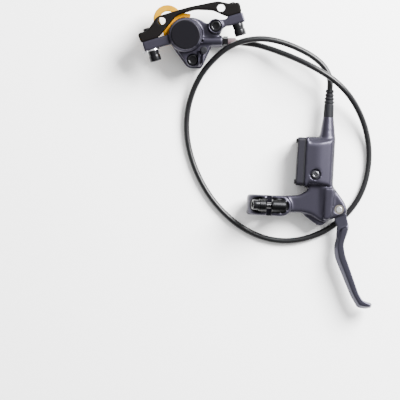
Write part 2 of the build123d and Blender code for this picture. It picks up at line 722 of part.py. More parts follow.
# Spacer that keeps the pads apart: plate between the linings, arched stop, loop to pull it by
SPACER_STOP_R = 15.1
SPACER_STOP_THICK = 3.4
SPACER_STOP_HALF_Z = 3.6
SPACER_LOOP_AT = (20.3, -0.8)
SPACER_LOOP_AXES = (12.0, 11.8)
SPACER_LOOP_HOLE = (6.6, 6.8)
SPACER_LOOP_HALF_Z = 2.2
SPACER_ARCH = (-64.0, 45.0)
with BuildPart() as pad_spacer:
    with BuildSketch(HUB.offset(PARTING_Z - SPACER_THICK / 2)):
        with Locations(((SPACER_STOP_R - PAD_HALF_HEIGHT) / 2, 0)):
            RectangleRounded(SPACER_STOP_R + PAD_HALF_HEIGHT, 2 * (PAD_HALF_WIDTH - LINING_INSET), 3.0)
    extrude(amount=SPACER_THICK)
    with BuildSketch(HUB.offset(PARTING_Z - SPACER_LOOP_HALF_Z)):
        with Locations(SPACER_LOOP_AT):
            Ellipse(*SPACER_LOOP_AXES)
            Ellipse(*SPACER_LOOP_HOLE, mode=Mode.SUBTRACT)
        Circle(SPACER_STOP_R, mode=Mode.SUBTRACT)
    extrude(amount=2 * SPACER_LOOP_HALF_Z)
    with BuildSketch(HUB.offset(PARTING_Z - SPACER_STOP_HALF_Z)):
        with BuildLine():
            for radius in (SPACER_STOP_R, SPACER_STOP_R + SPACER_STOP_THICK):
                CenterArc((0, 0), radius, SPACER_ARCH[0], SPACER_ARCH[1] - SPACER_ARCH[0])
            for turn in SPACER_ARCH:
                Line(
                    (SPACER_STOP_R * cos(radians(turn)), SPACER_STOP_R * sin(radians(turn))),
                    (
                        (SPACER_STOP_R + SPACER_STOP_THICK) * cos(radians(turn)),
                        (SPACER_STOP_R + SPACER_STOP_THICK) * sin(radians(turn)),
                    ),
                )
        make_face()
    extrude(amount=2 * SPACER_STOP_HALF_Z)
pad_spacer.part.label = "pad_spacer"
export_step(pad_spacer.part, "parts/pad_spacer.step")


# Lever body: clamp arm, pivot lugs, reservoir and master cylinder in one casting

AXIS_PLANE = looking(LEVER, (CYL_X, 0, AXIS_Z), (0, 1, 0), (1, 0, 0))
PIVOT_PLANE = looking(LEVER, (0, 0, 0), UP, (1, 0, 0))
RING_Z = RING_R
RING_PLANE = looking(LEVER, (BAR_X, BAR_Y, RING_Z), (0, 1, 0), (1, 0, 0))
SLIT_ANGLE = degrees(asin(SLIT_SHIFT / RING_R))
CLAMP_X = BAR_X + SLIT_SHIFT
CLAMP_Z = RING_Z + CLAMP_BOLT_OUT * cos(radians(SLIT_ANGLE))
CLAMP_OUT = (-cos(radians(CLAMP_TILT)), 0, sin(radians(CLAMP_TILT)))
CLAMP_PLANE = looking(LEVER, (CLAMP_X, BAR_Y, CLAMP_Z), CLAMP_OUT, (0, 1, 0))
LID_BACK_X = RESERVOIR_LEFT - GASKET
LID_MIDDLE_Y = (RESERVOIR_BOTTOM + RESERVOIR_TOP) / 2
LID_LENGTH = RESERVOIR_TOP - RESERVOIR_BOTTOM - 2 * LID_INSET
LID_HEIGHT = RESERVOIR_HEIGHT - 2 * LID_INSET
LID_PLANE = looking(LEVER, (LID_BACK_X, LID_MIDDLE_Y, RESERVOIR_HEIGHT / 2), (-1, 0, 0), (0, 1, 0))
LID_SCREW_SPOTS = GridLocations(
    LID_LENGTH - 2 * LID_CORNER_R, LID_HEIGHT - 2 * LID_CORNER_R, 2, 2
)
BLEED_PLANE = looking(LEVER, (*BLEED_AT, RESERVOIR_HEIGHT - BLEED_RECESS), UP, (1, 0, 0))
CIRCLIP_AT = PISTON_START - PUSHROD_FLANGE - SIDE_GAP - CIRCLIP_THICK
REACH_TIP = (
    REACH_SCREW_X * tan(radians(ARM_REST_ANGLE)) - ARM_HALF_WIDTH / cos(radians(ARM_REST_ANGLE))
)
REACH_PLANE = looking(LEVER, (REACH_SCREW_X, 0, AXIS_Z), (0, 1, 0), (1, 0, 0))
LUG_OUTLINE = [
    (-54.0, 8.8),
    (-34.7, 10.2),
    (-27.5, 14.5),
    (-25.0, 26.0),
    (-8.0, 26.0),
    (-6.1, 19.5),
    (5.0, 5.4),
    (7.4, -2.6),
    (-12.7, -12.0),
    (-24.0, -5.2),
    (-33.0, -3.9),
    (-54.0, -6.0),
]
LOWER_OUTLINE = [
    (-31.0, 8.0),
    (-31.0, -5.0),
    (-20.0, -12.6),
    (-14.5, -14.6),
    (-9.0, -10.4),
    (6.8, -3.0),
    (4.8, 5.0),
    (-7.0, 20.0),
    (-20.0, 20.0),
]
SLOT_OUTLINE = [
    (-21.6, -7.2),
    (-11.6, -7.2),
    (-8.6, -20.0),
    (14.0, -20.0),
    (14.0, MASTER_START),
    (-21.6, MASTER_START),
]
SADDLE_END = CLAMP_X - BAR_X + (POCKET_LENGTH - POCKET_WIDTH) / 2
TANK_SIDE = [
    (RESERVOIR_BOTTOM, 4.0),
    (RESERVOIR_BOTTOM, RESERVOIR_HEIGHT - RESERVOIR_BEVEL),
    (RESERVOIR_BOTTOM + 4.0, RESERVOIR_HEIGHT),
    (RESERVOIR_TOP - RESERVOIR_BEVEL, RESERVOIR_HEIGHT),
    (RESERVOIR_TOP, RESERVOIR_HEIGHT - RESERVOIR_BEVEL),
    (RESERVOIR_TOP, 4.0),
    (RESERVOIR_TOP - 3.0, 0),
    (RESERVOIR_BOTTOM + 3.0, 0),
]
TANK_SECTION = [
    (RESERVOIR_LEFT, 0),
    (RESERVOIR_LEFT, RESERVOIR_HEIGHT),
    (-19.0, RESERVOIR_HEIGHT),
    (-8.8, 21.6),
    (CYL_X + MASTER_OUTER_R, 17.0),
    (CYL_X + MASTER_OUTER_R, 9.0),
    (-11.0, 2.0),
    (-18.0, 0),
]
RIDGE_SIDE = [
    (0, RIDGE_END),
    (4.6, RIDGE_END),
    (RIDGE_R - 0.6, RIDGE_END + 5.0),
    (RIDGE_R, RESERVOIR_BOTTOM),
    (0, RESERVOIR_BOTTOM),
]
with BuildPart() as tank:
    with BuildSketch(looking(LEVER, (0, RESERVOIR_BOTTOM, 0), (0, -1, 0), (1, 0, 0))):
        soft_face(TANK_SECTION, 0.3)
    extrude(amount=RESERVOIR_BOTTOM - RESERVOIR_TOP)
    with BuildSketch(looking(LEVER, (RESERVOIR_LEFT, 0, 0), (1, 0, 0), (0, 1, 0))) as tank_side:
        soft_face(TANK_SIDE, 0.25)
    extrude(tank_side.sketch, amount=-2 * RESERVOIR_LEFT, mode=Mode.INTERSECT)
    with BuildSketch(looking(LEVER, (RESERVOIR_LEFT, 0, 0), (1, 0, 0), (0, 1, 0))):
        with Locations(((RESERVOIR_BOTTOM + RESERVOIR_TOP) / 2, RESERVOIR_HEIGHT / 2)):
            RectangleRounded(RESERVOIR_TOP - RESERVOIR_BOTTOM, RESERVOIR_HEIGHT, LID_CORNER_R)
    extrude(amount=RESERVOIR_FLANGE)
with BuildPart() as clamp_ring:
    disc(RING_PLANE, RING_R, -RING_WIDTH / 2, RING_WIDTH / 2)
    fillet(clamp_ring.edges(), radius=RING_EDGE)
with BuildPart() as saddle:
    with BuildSketch(looking(LEVER, (BAR_X, BAR_Y, LUG_BOTTOM + 1), UP, (1, 0, 0))):
        with Locations((SADDLE_END / 2, 0)):
            Rectangle(SADDLE_END, RING_WIDTH)
        with Locations((SADDLE_END, 0)):
            Circle(RING_WIDTH / 2)
    extrude(amount=RING_Z + POCKET_FLOOR + POCKET_RIM - LUG_BOTTOM - 1)
    fillet(saddle.faces().sort_by(Axis.Z)[-1].edges(), radius=POCKET_RIM)
with BuildPart() as lever_body:
    with BuildSketch(LEVER.offset(LUG_BOTTOM + 1)):
        soft_face(LUG_OUTLINE, 0.3)
    extrude(amount=LUG_TOP - LUG_BOTTOM - 1)
    fillet(lever_body.faces().sort_by(Axis.Z)[-1].edges(), radius=PLATE_EDGE)
    add(tank.part)
    with BuildSketch(looking(LEVER, (CYL_X, 0, AXIS_Z), UP, (1, 0, 0))) as ridge_side:
        with BuildLine():
            Polyline(*RIDGE_SIDE, close=True)
        make_face()
    revolve(ridge_side.sketch, axis=Axis(AXIS_PLANE.origin, AXIS_PLANE.z_dir))
    with BuildSketch(LEVER.offset(LUG_BOTTOM)):
        soft_face(LOWER_OUTLINE, 0.3)
    extrude(amount=AXIS_Z + SLOT_HALF - LUG_BOTTOM)
    with BuildSketch(looking(LEVER, (CYL_X, 0, AXIS_Z), UP, (1, 0, 0))):
        with BuildLine():
            Polyline(
                (0, MASTER_START),
                (MASTER_OUTER_R, MASTER_START),
                (MASTER_OUTER_R, RESERVOIR_TOP),
                (NECK_R + 0.9, NECK_END - NECK_TAPER),
                (NECK_R, NECK_END),
                (0, NECK_END),
                close=True,
            )
        make_face()
    revolve(axis=Axis(AXIS_PLANE.origin, AXIS_PLANE.z_dir))
    add(clamp_ring.part)
    add(saddle.part)
    with BuildSketch(looking(LEVER, (CLAMP_X, BAR_Y, 0), UP, (1, 0, 0)).offset(RING_Z + POCKET_FLOOR)):
        SlotOverall(POCKET_LENGTH, POCKET_WIDTH)
    extrude(amount=RING_R, mode=Mode.SUBTRACT)
    disc(CLAMP_PLANE, CLAMP_BOSS_R, -CLAMP_BOSS_RIGHT, CLAMP_BOSS_LEFT)
    disc(RING_PLANE, BAR_R, -RING_WIDTH, RING_WIDTH, Mode.SUBTRACT)
    with BuildSketch(looking(LEVER, (CLAMP_X, BAR_Y, RING_Z), UP, (1, 0, 0))):
        Rectangle(SLIT, 2 * RING_WIDTH)
    extrude(amount=2 * RING_R, mode=Mode.SUBTRACT)
    thread_end = 1.5 - CLAMP_BOSS_RIGHT
    disc(CLAMP_PLANE, CLAMP_BOLT_R + THREAD_FIT, thread_end, CLAMP_BOSS_LEFT, Mode.SUBTRACT)
    disc(CLAMP_PLANE, CLAMP_BOSS_R, CLAMP_BOSS_LEFT, CLAMP_BOSS_LEFT + POCKET_LENGTH, Mode.SUBTRACT)
    with BuildSketch(LEVER.offset(AXIS_Z - SLOT_HALF)):
        soft_face(SLOT_OUTLINE, 0.1)
    extrude(amount=2 * SLOT_HALF, mode=Mode.SUBTRACT)
    disc(AXIS_PLANE, MASTER_R, 0, MASTER_END, Mode.SUBTRACT)
    disc(AXIS_PLANE, FLUID_R, MASTER_END, NECK_END, Mode.SUBTRACT)
    disc(AXIS_PLANE, FITTING_R + THREAD_FIT, NECK_END - FITTING_DEPTH, NECK_END, Mode.SUBTRACT)
    disc(PIVOT_PLANE, PIVOT_R + PIN_FIT + BUSH_WALL, 0, 2 * LUG_TOP, Mode.SUBTRACT)
    with BuildSketch(looking(LEVER, (RESERVOIR_LEFT, 0, 0), (1, 0, 0), (0, 1, 0))):
        with Locations(((RESERVOIR_BOTTOM + RESERVOIR_TOP) / 2, RESERVOIR_HEIGHT / 2)):
            RectangleRounded(
                RESERVOIR_TOP - RESERVOIR_BOTTOM - 4 * RESERVOIR_WALL,
                RESERVOIR_HEIGHT - 2 * RESERVOIR_WALL,
                LID_CORNER_R,
            )
    extrude(amount=RESERVOIR_DEPTH, mode=Mode.SUBTRACT)
    with BuildSketch(LID_PLANE):
        with LID_SCREW_SPOTS:
            Circle(LID_SCREW_R + THREAD_FIT)
    extrude(amount=-LID_SCREW_LENGTH - GASKET, mode=Mode.SUBTRACT)
    disc(BLEED_PLANE, BLEED_RECESS_R, 0, BLEED_RECESS, Mode.SUBTRACT)
    disc(BLEED_PLANE, BLEED_R + THREAD_FIT, -RESERVOIR_WALL, 0, Mode.SUBTRACT)
    disc(AXIS_PLANE, MASTER_R + CIRCLIP_BITE, CIRCLIP_AT, CIRCLIP_AT + CIRCLIP_THICK, Mode.SUBTRACT)
    disc(REACH_PLANE, REACH_SCREW_R + THREAD_FIT, -NECK_END, 0, Mode.SUBTRACT)
    for port_y in (PISTON_START + MASTER_PISTON_LENGTH + 1.5, PISTON_START + 14.0):
        disc(
            looking(LEVER, (CYL_X, port_y, AXIS_Z), (-1, 0, 0), (0, 1, 0)),
            FLUID_R * 0.6,
            MASTER_R - 0.5,
            RESERVOIR_DEPTH + MASTER_R,
            Mode.SUBTRACT,
        )
lever_body.part.label = "lever_body"
export_step(lever_body.part, "parts/lever_body.step")

with BuildPart() as reservoir_lid:
    with BuildSketch(LID_PLANE):
        RectangleRounded(LID_LENGTH, LID_HEIGHT, LID_CORNER_R)
    extrude(amount=LID_THICK)
    fillet(reservoir_lid.edges().group_by(Axis(LEVER.origin, LEVER.x_dir))[0], radius=1.2)
    with BuildSketch(LID_PLANE):
        RectangleRounded(LID_LENGTH - 12, LID_HEIGHT - 6, 2.0)
    extrude(amount=LID_THICK - 2.0, mode=Mode.SUBTRACT)
    with BuildSketch(LID_PLANE):
        with LID_SCREW_SPOTS:
            Circle(LID_SCREW_R + THREAD_FIT)
    extrude(amount=LID_THICK, mode=Mode.SUBTRACT)
reservoir_lid.part.label = "reservoir_lid"
export_step(reservoir_lid.part, "parts/reservoir_lid.step")

with BuildPart() as lid_screws:
    with BuildSketch(LID_PLANE.offset(LID_THICK)):
        with LID_SCREW_SPOTS:
            Circle(LID_SCREW_HEAD_R)
    extrude(amount=LID_SCREW_HEAD)
    with BuildSketch(LID_PLANE.offset(LID_THICK)):
        with LID_SCREW_SPOTS:
            Circle(LID_SCREW_R)
    extrude(amount=-LID_SCREW_LENGTH)
    with BuildSketch(LID_PLANE.offset(LID_THICK + LID_SCREW_HEAD)):
        with LID_SCREW_SPOTS:
            Rectangle(2.4, 0.6)
            Rectangle(0.6, 2.4)
    extrude(amount=-0.7, mode=Mode.SUBTRACT)
lid_screws.part.label = "lid_screws"
export_step(lid_screws.part, "parts/lid_screws.step")

# Rubber diaphragm: gasket rim between lid and reservoir, and a thin walled cup in the fluid
CUP_LENGTH = RESERVOIR_TOP - RESERVOIR_BOTTOM - 4 * RESERVOIR_WALL - 2 * SIDE_GAP
CUP_HEIGHT = RESERVOIR_HEIGHT - 2 * RESERVOIR_WALL - 2 * SIDE_GAP
with BuildPart() as diaphragm:
    with BuildSketch(LID_PLANE.offset(-GASKET)):
        RectangleRounded(LID_LENGTH, LID_HEIGHT, LID_CORNER_R)
        with LID_SCREW_SPOTS:
            Circle(LID_SCREW_R + THREAD_FIT, mode=Mode.SUBTRACT)
    extrude(amount=GASKET)
    with BuildSketch(LID_PLANE.offset(-GASKET)):
        RectangleRounded(CUP_LENGTH, CUP_HEIGHT, LID_CORNER_R - SIDE_GAP)
    extrude(amount=-RESERVOIR_DEPTH + 3.0)
    with BuildSketch(LID_PLANE):
        RectangleRounded(CUP_LENGTH - 2.4, CUP_HEIGHT - 2.4, LID_CORNER_R - 1.5)
    extrude(amount=-GASKET - RESERVOIR_DEPTH + 4.2, mode=Mode.SUBTRACT)
diaphragm.part.label = "diaphragm"
export_step(diaphragm.part, "parts/diaphragm.step")

with BuildPart() as bleed_screw:
    disc(BLEED_PLANE, BLEED_R, 0.8 - BLEED_LENGTH, 0.8)
    disc(BLEED_PLANE, BLEED_HEAD_R, 0.8, BLEED_RECESS + 0.6)
    chamfer(bleed_screw.faces().sort_by(Axis.Z)[-1].edges(), length=0.4)
    hexagon(BLEED_PLANE, 1.25, -0.6, BLEED_RECESS + 0.6, Mode.SUBTRACT)
bleed_screw.part.label = "bleed_screw"
export_step(bleed_screw.part, "parts/bleed_screw.step")
bleed_screw_o_ring = ring_piece(BLEED_PLANE, BLEED_HEAD_R + 0.4, BLEED_R + THREAD_FIT, 0, 0.8)
bleed_screw_o_ring.part.label = "bleed_screw_o_ring"
export_step(bleed_screw_o_ring.part, "parts/bleed_screw_o_ring.step")


# Clamp bolt across the slit

with BuildPart() as clamp_bolt:
    disc(CLAMP_PLANE, CLAMP_BOLT_R, -CLAMP_BOSS_RIGHT + 2.0, CLAMP_BOSS_LEFT + CLAMP_WASHER)
    head = CLAMP_BOSS_LEFT + CLAMP_WASHER
    disc(CLAMP_PLANE, CLAMP_HEAD_R, head, head + CLAMP_HEAD_HEIGHT)
    clamp_axis = Axis(CLAMP_PLANE.origin, CLAMP_PLANE.z_dir)
    chamfer(clamp_bolt.faces().sort_by(clamp_axis)[-1].edges(), length=0.5)
    crown = head + CLAMP_HEAD_HEIGHT
    hexagon(CLAMP_PLANE, HEX_KEY_R * 0.86, crown - HEX_KEY_DEPTH, crown, Mode.SUBTRACT)
clamp_bolt.part.label = "clamp_bolt"
export_step(clamp_bolt.part, "parts/clamp_bolt.step")
clamp_washer = ring_piece(
    CLAMP_PLANE,
    CLAMP_HEAD_R + 0.4,
    CLAMP_BOLT_R + THREAD_FIT,
    CLAMP_BOSS_LEFT,
    CLAMP_BOSS_LEFT + CLAMP_WASHER,
)
clamp_washer.part.label = "clamp_washer"
export_step(clamp_washer.part, "parts/clamp_washer.step")


# Lever blade: eye and arm between the lugs, finger grip with a ridge along its middle

ARM_LENGTH = -CYL_X / cos(radians(ARM_REST_ANGLE))
ARM_ANGLE = 180 + ARM_REST_ANGLE
GRIP_LEFT = [
    (-0.6, -17.4),
    (-1.4, -24.0),
    (-2.9, -33.0),
    (-1.2, -41.5),
    (13.0, -71.7),
    (19.6, -81.8),
]
GRIP_TIP = [(26.3, -82.4), (31.6, -81.3), (32.0, -77.0)]
GRIP_RIGHT = [
    (24.0, -75.4),
    (20.2, -70.0),
    (7.0, -37.5),
    (5.4, -29.5),
    (7.0, -22.5),
    (9.2, -13.4),
]
ROOT_OUTLINE = [
    (-3.6, 0.0),
    (-3.0, -10.8),
    (-0.9, -14.0),
    (-1.2, -24.0),
    (5.5, -27.0),
    (8.0, -21.0),
    (9.4, -14.4),
    (6.1, -3.0),
    (5.0, 2.0),
]


def ridge(points, partners):
    """Points of one edge moved towards the facing edge, where the grip is highest."""
    return [
        (x + (px - x) * GRIP_RIDGE, y + (py - y) * GRIP_RIDGE)
        for (x, y), (px, py) in zip(points, partners)
    ]


GRIP_MIDDLE = GRIP_LEFT + GRIP_TIP + GRIP_RIGHT
GRIP_TIP_TOP = [(26.8, -80.2), (30.4, -80.2), (30.6, -78.2)]
GRIP_TOP = ridge(GRIP_LEFT, GRIP_RIGHT[::-1]) + GRIP_TIP_TOP + GRIP_RIGHT
with BuildPart() as lever_blade:
    with BuildSketch(LEVER.offset(AXIS_Z - TONGUE_HALF)):
        Circle(EYE_R)
        soft_face(ROOT_OUTLINE, 0.3)
        with Locations(Location((0, 0, 0), ARM_ANGLE)):
            with Locations((ARM_TOE / 2, 0)):
                Rectangle(ARM_TOE, 2 * ARM_HALF_WIDTH)
            with Locations((ARM_LENGTH, 0)):
                Circle(ARM_TIP_R)
    extrude(amount=2 * TONGUE_HALF)
    for side in (1, -1):
        with BuildSketch(LEVER.offset(AXIS_Z)):
            soft_face(GRIP_MIDDLE, 0.3)
        with BuildSketch(LEVER.offset(AXIS_Z + side * GRIP_HALF)):
            soft_face(GRIP_TOP, 0.3)
        loft(ruled=True)
    disc(PIVOT_PLANE, PIVOT_R + PIN_FIT, 0, 2 * LUG_TOP, Mode.SUBTRACT)
lever_blade.part.label = "lever_blade"
export_step(lever_blade.part, "parts/lever_blade.step")

with BuildPart() as pivot_pin:
    disc(PIVOT_PLANE, PIVOT_R, LUG_BOTTOM - CLIP_THICK - 0.8, LUG_TOP + PIVOT_PROUD)
    chamfer(pivot_pin.faces().sort_by(Axis.Z)[-1].edges(), length=0.4)
    with BuildSketch(PIVOT_PLANE.offset(LUG_BOTTOM - CLIP_THICK)):
        Circle(PIVOT_R)
        Circle(PIVOT_R - 0.6, mode=Mode.SUBTRACT)
    extrude(amount=CLIP_THICK, mode=Mode.SUBTRACT)
pivot_pin.part.label = "pivot_pin"
export_step(pivot_pin.part, "parts/pivot_pin.step")

BUSH_R = PIVOT_R + PIN_FIT + BUSH_WALL
with BuildPart() as pivot_bushes:
    disc(PIVOT_PLANE, BUSH_R, LUG_BOTTOM, AXIS_Z - SLOT_HALF)
    disc(PIVOT_PLANE, BUSH_R, AXIS_Z + SLOT_HALF, LUG_TOP)
    disc(PIVOT_PLANE, PIVOT_R + PIN_FIT, 0, 2 * LUG_TOP, Mode.SUBTRACT)
pivot_bushes.part.label = "pivot_bushes"
export_step(pivot_bushes.part, "parts/pivot_bushes.step")

with BuildPart() as pivot_clip:
    with BuildSketch(PIVOT_PLANE.offset(LUG_BOTTOM - CLIP_THICK)):
        Circle(PIVOT_R + 1.8)
        Circle(PIVOT_R - 0.6, mode=Mode.SUBTRACT)
        with Locations((PIVOT_R + 1.0, 0)):
            Rectangle(2 * PIVOT_R, 2 * PIVOT_R - 2.0, mode=Mode.SUBTRACT)
    extrude(amount=CLIP_THICK)
pivot_clip.part.label = "pivot_clip"
export_step(pivot_clip.part, "parts/pivot_clip.step")


# Master cylinder internals

def on_axis(radius, start, end, mode=Mode.ADD):
    disc(AXIS_PLANE, radius, start, end, mode)


PISTON_END = PISTON_START + MASTER_PISTON_LENGTH
CUPS_AT = (PISTON_START + SECONDARY_CUP_AT, PISTON_END - PRIMARY_CUP_BACK)
LAND_R = MASTER_R - PISTON_FIT
GROOVE_R = LAND_R - CUP_DEPTH
with BuildPart() as master_piston:
    on_axis(LAND_R, PISTON_START, PISTON_END)
    for start in CUPS_AT:
        with BuildSketch(AXIS_PLANE.offset(start)):
            Circle(LAND_R)
            Circle(GROOVE_R, mode=Mode.SUBTRACT)
        extrude(amount=CUP_WIDTH, mode=Mode.SUBTRACT)
    with BuildSketch(AXIS_PLANE.offset(CUPS_AT[0] + 2 * CUP_WIDTH)):
        Circle(LAND_R)
        Circle(GROOVE_R - 0.4, mode=Mode.SUBTRACT)
    extrude(amount=CUPS_AT[1] - CUPS_AT[0] - 3 * CUP_WIDTH, mode=Mode.SUBTRACT)
master_piston.part.label = "master_piston"
export_step(master_piston.part, "parts/master_piston.step")

secondary_cup = ring_piece(
    AXIS_PLANE, MASTER_R - SEAL_FIT, GROOVE_R, CUPS_AT[0] + SEAL_FIT, CUPS_AT[0] + CUP_WIDTH - SEAL_FIT
)
secondary_cup.part.label = "secondary_cup"
export_step(secondary_cup.part, "parts/secondary_cup.step")
primary_cup = ring_piece(
    AXIS_PLANE, MASTER_R - SEAL_FIT, GROOVE_R, CUPS_AT[1] + SEAL_FIT, CUPS_AT[1] + CUP_WIDTH - SEAL_FIT
)
primary_cup.part.label = "primary_cup"
export_step(primary_cup.part, "parts/primary_cup.step")

PUSHROD_TIP = ARM_TIP_R + SIDE_GAP - ARM_LENGTH * sin(radians(ARM_REST_ANGLE))
with BuildPart() as pushrod:
    on_axis(PUSHROD_R, PUSHROD_TIP, PISTON_START)
    on_axis(PUSHROD_FLANGE_R, PISTON_START - PUSHROD_FLANGE, PISTON_START)
pushrod.part.label = "pushrod"
export_step(pushrod.part, "parts/pushrod.step")

with BuildPart() as piston_circlip:
    with BuildSketch(AXIS_PLANE.offset(CIRCLIP_AT)):
        Circle(MASTER_R + CIRCLIP_BITE)
        Circle(MASTER_R + CIRCLIP_BITE - CIRCLIP_WIDTH, mode=Mode.SUBTRACT)
        with Locations((MASTER_R, 0)):
            Rectangle(2 * CIRCLIP_WIDTH, 3.0, mode=Mode.SUBTRACT)
    extrude(amount=CIRCLIP_THICK)
piston_circlip.part.label = "piston_circlip"
export_step(piston_circlip.part, "parts/piston_circlip.step")

with BuildPart() as dust_boot:
    with BuildSketch(looking(LEVER, (CYL_X, 0, AXIS_Z), UP, (1, 0, 0))):
        with BuildLine():
            Polyline(
                (PUSHROD_R + SIDE_GAP, MASTER_START + 0.6),
                (PUSHROD_R + SIDE_GAP + 0.8, MASTER_START + 0.6),
                (MASTER_R - 0.9, MASTER_START + 4.0),
                (MASTER_R, MASTER_START + 4.0),
                (MASTER_R, CIRCLIP_AT),
                (MASTER_R - 1.6, CIRCLIP_AT),
                (MASTER_R - 1.6, MASTER_START + 5.6),
                (PUSHROD_R + SIDE_GAP, MASTER_START + 2.0),
                close=True,
            )
        make_face()
    revolve(axis=Axis(AXIS_PLANE.origin, AXIS_PLANE.z_dir))
dust_boot.part.label = "dust_boot"
export_step(dust_boot.part, "parts/dust_boot.step")

SPRING_PITCH = (SPRING_LENGTH - 2 * SPRING_WIRE_R) / SPRING_TURNS
with BuildPart() as return_spring:
    with BuildLine() as coil:
        Helix(
            SPRING_PITCH,
            SPRING_LENGTH - 2 * SPRING_WIRE_R,
            SPRING_R,
            center=AXIS_PLANE.offset(MASTER_END - SPRING_LENGTH + SPRING_WIRE_R).origin,
            direction=AXIS_PLANE.z_dir,
        )
    with BuildSketch(Plane(origin=coil.line @ 0, z_dir=coil.line % 0)):
        Circle(SPRING_WIRE_R)
    sweep()
return_spring.part.label = "return_spring"
export_step(return_spring.part, "parts/return_spring.step")

with BuildPart() as reach_screw:
    disc(REACH_PLANE, REACH_SCREW_R, REACH_TIP - SIDE_GAP - REACH_SCREW_LENGTH, REACH_TIP - SIDE_GAP)
    hexagon(
        REACH_PLANE,
        0.75,
        REACH_TIP - SIDE_GAP - REACH_SCREW_LENGTH,
        REACH_TIP - SIDE_GAP - REACH_SCREW_LENGTH + 1.5,
        Mode.SUBTRACT,
    )
reach_screw.part.label = "reach_screw"
export_step(reach_screw.part, "parts/reach_screw.step")


# Hose fittings: the same build at both ends, from the bottom of the socket outwards

LEVER_SOCKET = NECK_END - FITTING_DEPTH
CALIPER_SOCKET = PORT_FACE_X - FITTING_DEPTH
SOCKETS = ((PORT_PLANE, CALIPER_SOCKET), (AXIS_PLANE, LEVER_SOCKET))
with BuildPart() as hose_inserts:
    for plane, bottom in SOCKETS:
        disc(plane, FITTING_R - 0.2, bottom, bottom + INSERT_HEAD)
        disc(plane, FLUID_R, bottom, bottom + INSERT_HEAD, Mode.SUBTRACT)
hose_inserts.part.label = "hose_inserts"
export_step(hose_inserts.part, "parts/hose_inserts.step")

with BuildPart() as hose_olives:
    for plane, bottom in SOCKETS:
        start = bottom + INSERT_HEAD
        disc(plane, FITTING_R - 0.1, start, start + OLIVE_LENGTH)
        disc(plane, HOSE_R + HOSE_FIT, start, start + OLIVE_LENGTH, Mode.SUBTRACT)
hose_olives.part.label = "hose_olives"
export_step(hose_olives.part, "parts/hose_olives.step")

CALIPER_NUT_END = PORT_FACE_X + NUT_COLLAR + CALIPER_NUT_LENGTH
with BuildPart() as caliper_hose_nut:
    disc(PORT_PLANE, FITTING_R, CALIPER_SOCKET + INSERT_HEAD + OLIVE_LENGTH, PORT_FACE_X)
    disc(PORT_PLANE, CALIPER_NUT_FLAT, PORT_FACE_X, PORT_FACE_X + NUT_COLLAR)
    hexagon(PORT_PLANE, CALIPER_NUT_FLAT, PORT_FACE_X + NUT_COLLAR, CALIPER_NUT_END)
    disc(PORT_PLANE, HOSE_R + HOSE_FIT, 0, CALIPER_NUT_END, Mode.SUBTRACT)
caliper_hose_nut.part.label = "caliper_hose_nut"
export_step(caliper_hose_nut.part, "parts/caliper_hose_nut.step")

with BuildPart() as caliper_hose_sleeve:
    disc(PORT_PLANE, CALIPER_SLEEVE_R, CALIPER_NUT_END, CALIPER_NUT_END + CALIPER_SLEEVE_LENGTH)
    chamfer(caliper_hose_sleeve.faces().sort_by(Axis.X)[-1].edges(), length=0.5)
    disc(PORT_PLANE, HOSE_R + HOSE_FIT, 0, CALIPER_NUT_END + CALIPER_SLEEVE_LENGTH, Mode.SUBTRACT)
caliper_hose_sleeve.part.label = "caliper_hose_sleeve"
export_step(caliper_hose_sleeve.part, "parts/caliper_hose_sleeve.step")

LEVER_NUT_END = NECK_END + LEVER_NUT_LENGTH
with BuildPart() as lever_hose_nut:
    disc(AXIS_PLANE, FITTING_R, LEVER_SOCKET + INSERT_HEAD + OLIVE_LENGTH, NECK_END)
    hexagon(AXIS_PLANE, LEVER_NUT_FLAT, NECK_END, LEVER_NUT_END)
    disc(AXIS_PLANE, HOSE_R + HOSE_FIT, 0, LEVER_NUT_END, Mode.SUBTRACT)
lever_hose_nut.part.label = "lever_hose_nut"
export_step(lever_hose_nut.part, "parts/lever_hose_nut.step")

# Rubber boot over the nut: a plain sleeve, then ribs that thin towards the hose
BOOT_END = NECK_END + BOOT_LENGTH
BOOT_PLAIN = 11.2
RIB_PITCH = (BOOT_LENGTH - BOOT_PLAIN) / BOOT_RIB_COUNT
BOOT_GROOVE = 0.6
boot_side = [(LEVER_NUT_FLAT / cos(pi / 6) + HOSE_FIT, NECK_END), (BOOT_R, NECK_END)]
boot_side.append((BOOT_R - 0.2, NECK_END + BOOT_PLAIN - 1.0))
for rib in range(BOOT_RIB_COUNT):
    foot = NECK_END + BOOT_PLAIN + rib * RIB_PITCH
    radius = BOOT_R - (BOOT_R - BOOT_TIP_R) * rib / BOOT_RIB_COUNT
    boot_side.append((radius - BOOT_GROOVE, foot - 0.4))
    boot_side.append((radius - BOOT_GROOVE, foot + 0.4))
    boot_side.append((radius, foot + 1.0))
    boot_side.append((radius - 0.1, foot + RIB_PITCH - 1.0))
boot_side.append((BOOT_TIP_R, BOOT_END))
boot_side.append((HOSE_R + HOSE_FIT, BOOT_END))
boot_side.append((HOSE_R + HOSE_FIT, LEVER_NUT_END))
boot_side.append((LEVER_NUT_FLAT / cos(pi / 6) + HOSE_FIT, LEVER_NUT_END))
with BuildPart() as hose_boot:
    with BuildSketch(looking(LEVER, (CYL_X, 0, AXIS_Z), UP, (1, 0, 0))):
        with BuildLine():
            Polyline(*boot_side, close=True)
        make_face()
    revolve(axis=Axis(AXIS_PLANE.origin, AXIS_PLANE.z_dir))
hose_boot.part.label = "hose_boot"
export_step(hose_boot.part, "parts/hose_boot.step")


# Hose, from the caliper round to the lever: one loose turn that passes over itself twice

